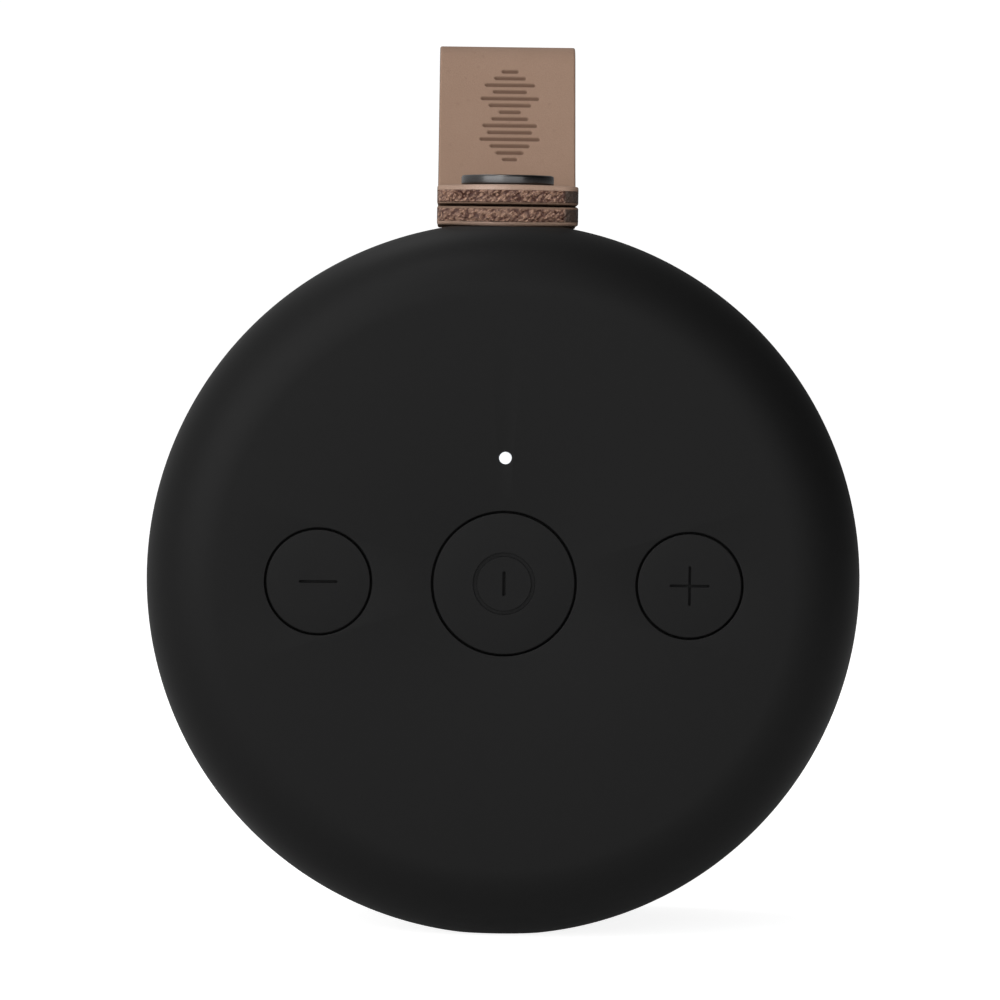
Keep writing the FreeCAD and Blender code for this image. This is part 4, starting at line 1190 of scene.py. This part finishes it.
# ---------------------------------------------------------------- moving part of the driver
SECTORS = 12  # a soft ring is built as this many separate sectors
SECTOR_STEPS = 8
SPIDER_RADII = (9.3, 16.1)
SPIDER_BACK_Y = 7.65
SPIDER_FOLDS = 9
SPIDER_WAVE = 0.5
SPIDER_THICKNESS = 0.3
SURROUND_RADII = (19.6, 26.8)
SURROUND_BACK_Y = 17.45
SURROUND_THICKNESS = 0.4
ROLL_CIRCLE = 22.8  # radius at which the half roll stands
ROLL_RADIUS = 1.9
ROLL_STEPS = 14


def spider_profile():
    """Cross-section of the corrugated cloth ring behind the cone."""
    inner, outer = SPIDER_RADII
    steps = 4 * SPIDER_FOLDS
    lower = []
    for i in range(steps + 1):
        height = SPIDER_BACK_Y + SPIDER_WAVE * (1 - math.cos(math.pi * i / 4)) / 2
        lower.append((inner + (outer - inner) * i / steps, height))
    return lower + [(r, y + SPIDER_THICKNESS) for r, y in reversed(lower)]


def surround_profile():
    """Cross-section of the rubber half roll, with its flat inner and outer lips."""
    inner, outer = SURROUND_RADII
    back, front = SURROUND_BACK_Y, SURROUND_BACK_Y + SURROUND_THICKNESS
    half = SURROUND_THICKNESS / 2
    arcs = []
    for radius, base in ((ROLL_RADIUS - half, back), (ROLL_RADIUS + half, front)):
        arcs.append([(ROLL_CIRCLE - radius * math.cos(math.pi * i / ROLL_STEPS),
                      base + (ROLL_RADIUS - half) * math.sin(math.pi * i / ROLL_STEPS))
                     for i in range(ROLL_STEPS + 1)])
    lower = [(inner, back)] + arcs[0] + [(outer, back)]
    upper = [(outer, front)] + arcs[1][::-1] + [(inner, front)]
    return lower + upper


# node: its profile, the radii where it is held and where it moves, its finish
SOFT_RINGS = {
    "driver_spider": (spider_profile(), (14.5, 9.3), "spider_cloth"),
    "driver_surround": (surround_profile(), (23.6, 21.2), "black_rubber"),
}


def build_soft_ring(node, finishes):
    """A ring held by the basket outside and carried by the cone inside."""
    profile, radii, slot_name = SOFT_RINGS[node]
    count = len(profile)
    step = 2 * math.pi / SECTORS
    for k in range(SECTORS):
        points = []
        for i in range(SECTOR_STEPS + 1):
            angle = (k + i / SECTOR_STEPS) * step
            points += [(r * math.cos(angle), y, r * math.sin(angle)) for r, y in profile]
        faces = [list(range(count)), list(range(len(points) - count, len(points)))[::-1]]
        faces += skin(SECTOR_STEPS + 1, count)
        piece = from_faces(f"{node}_{k + 1:02d}", points, faces, finishes[slot_name])
        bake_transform(piece)
        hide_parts(node)


# ---------------------------------------------------------------- finishes of the CAD nodes
def dress_cad(finishes):
    """Give every CAD node its finish and smooth shading between its sharp edges."""
    slots = {part["node"]: part["material_slot"] for part in frame["record"]["subparts"]}
    for name, node in frame["nodes"].items():
        node.data.materials.clear()
        node.data.materials.append(finishes[slots[name]])
        node.data.polygons.foreach_set("use_smooth", [True] * len(node.data.polygons))
        weighted = node.modifiers.new("weighted", "WEIGHTED_NORMAL")
        weighted.keep_sharp = True


# ---------------------------------------------------------------- stage
WHITE = (1.0, 1.0, 1.0)
FLOOR_HALF = 6.0  # metres, as are the places and sizes of the lights
FLOOR_GLOW = (0.1, 0.88)  # to the speaker, and to the camera
SURROUND_WHITE = 1.05  # of the surround, as the camera sees it
SIDE_GLOW = (0.50, 0.03)  # of the surround, from the left to the right of the speaker
BACK_GLOW = (0.0, 0.10)  # added from beside the speaker to behind it
# name, place, height of its aim above the disc axis in millimetres, width and height, power
SOFTBOXES = (
    ("key_softbox", (-0.95, -1.2, 0.6), 0, (1.5, 1.4), 13.0),
    ("front_fill", (0.25, -1.6, 0.35), 0, (1.8, 1.0), 6.5),
    ("rear_softbox", (-0.22, 0.42, 0.85), 50, (0.22, 0.22), 0.6),
    ("top_softbox", (-0.25, -0.5, 1.05), 0, (0.3, 0.3), 2.2),
)
LENS = 172.9  # focal length in millimetres, on a 36 mm sensor
CAMERA_PLACE = (-6.24, -698.8, 40.52)
CAMERA_AIM = (-0.51, 0.0, 10.80)
CAMERA_ROLL = 0.732  # degrees


def build_floor():
    """A pale floor that glows brightly to the camera and faintly to everything else."""
    m = Nodes("studio_floor")
    seen = m.add("LightPath", "Is Camera Ray")
    m.set(Base_Color=m.mix(m.noise(3.0, 2.0), (0.70, 0.70, 0.70), (0.72, 0.72, 0.72)),
          Roughness=0.9, Specular_IOR_Level=0.1, Emission_Color=WHITE,
          Emission_Strength=m.ramp(seen, 0.0, 1.0, *FLOOR_GLOW))
    mesh = bpy.data.meshes.new("studio_floor")
    corners = [(x * FLOOR_HALF, y * FLOOR_HALF, 0) for x, y in ((-1, -1), (1, -1), (1, 1), (-1, 1))]
    mesh.from_pydata(corners, [], [(0, 1, 2, 3)])
    finish_mesh("studio_floor", mesh, m.owner)


def build_surround():
    """A surround that is white to the camera, and dimmer towards the right to everything else."""
    m = Nodes("studio", bpy.data.worlds)
    bpy.context.scene.world = m.owner
    direction = (("Vector", m.add("TexCoord", "Generated")),)
    side, depth = [m.add("SeparateXYZ", axis, direction) for axis in ("X", "Y")]
    glow = m.math("ADD", m.ramp(side, -0.9, 0.7, *SIDE_GLOW, "SMOOTHSTEP"),
                  m.ramp(depth, 0.0, 0.8, *BACK_GLOW, "SMOOTHSTEP"))
    seen = m.add("LightPath", "Is Camera Ray")
    m.set(Color=WHITE, Strength=m.ramp(seen, 0.0, 1.0, glow, SURROUND_WHITE))


def add_softbox(name, place, aim_height, size, power):
    data = bpy.data.lights.new(name, "AREA")
    data.shape = "RECTANGLE"
    data.size, data.size_y = size
    data.energy = power
    light = add_object(name, data)
    light.location = place
    aim = row(0, 0, aim_height) - Vector(place)
    light.rotation_euler = aim.to_track_quat("-Z", "Y").to_euler()


def build_camera():
    """The viewpoint in front of the control face, a little above the disc axis and to its left."""
    data = bpy.data.cameras.new("camera")
    data.sensor_width = 36.0
    data.lens = LENS
    data.clip_start, data.clip_end = 0.05, 30.0
    camera = add_object("camera", data)
    place = row(*CAMERA_PLACE)
    turn = (row(*CAMERA_AIM) - place).to_track_quat("-Z", "Y")
    roll = Matrix.Rotation(math.radians(CAMERA_ROLL), 3, "Z").to_quaternion()
    camera.rotation_mode = "QUATERNION"
    camera.rotation_quaternion = turn @ roll
    camera.location = place
    bpy.context.scene.camera = camera


def main():
    bpy.context.scene.view_settings.view_transform = "Standard"
    finishes = make_finishes()
    dress_cad(finishes)
    black = finishes["soft_touch_black"]
    build_rear_shell(black)
    build_front_shell(black)
    for key in KEY_RADII:
        build_key(key, black)
    build_light(finishes["clear_light"])
    build_foot(finishes["black_rubber"])
    build_grille(finishes["gunmetal"])
    build_cloth(finishes["black_cloth"])
    bend_strap(build_strap(finishes["tan_leather"]))
    build_cap(finishes["dark_nickel"])
    for node in SOFT_RINGS:
        build_soft_ring(node, finishes)
    build_floor()
    build_surround()
    for softbox in SOFTBOXES:
        add_softbox(*softbox)
    build_camera()


main()
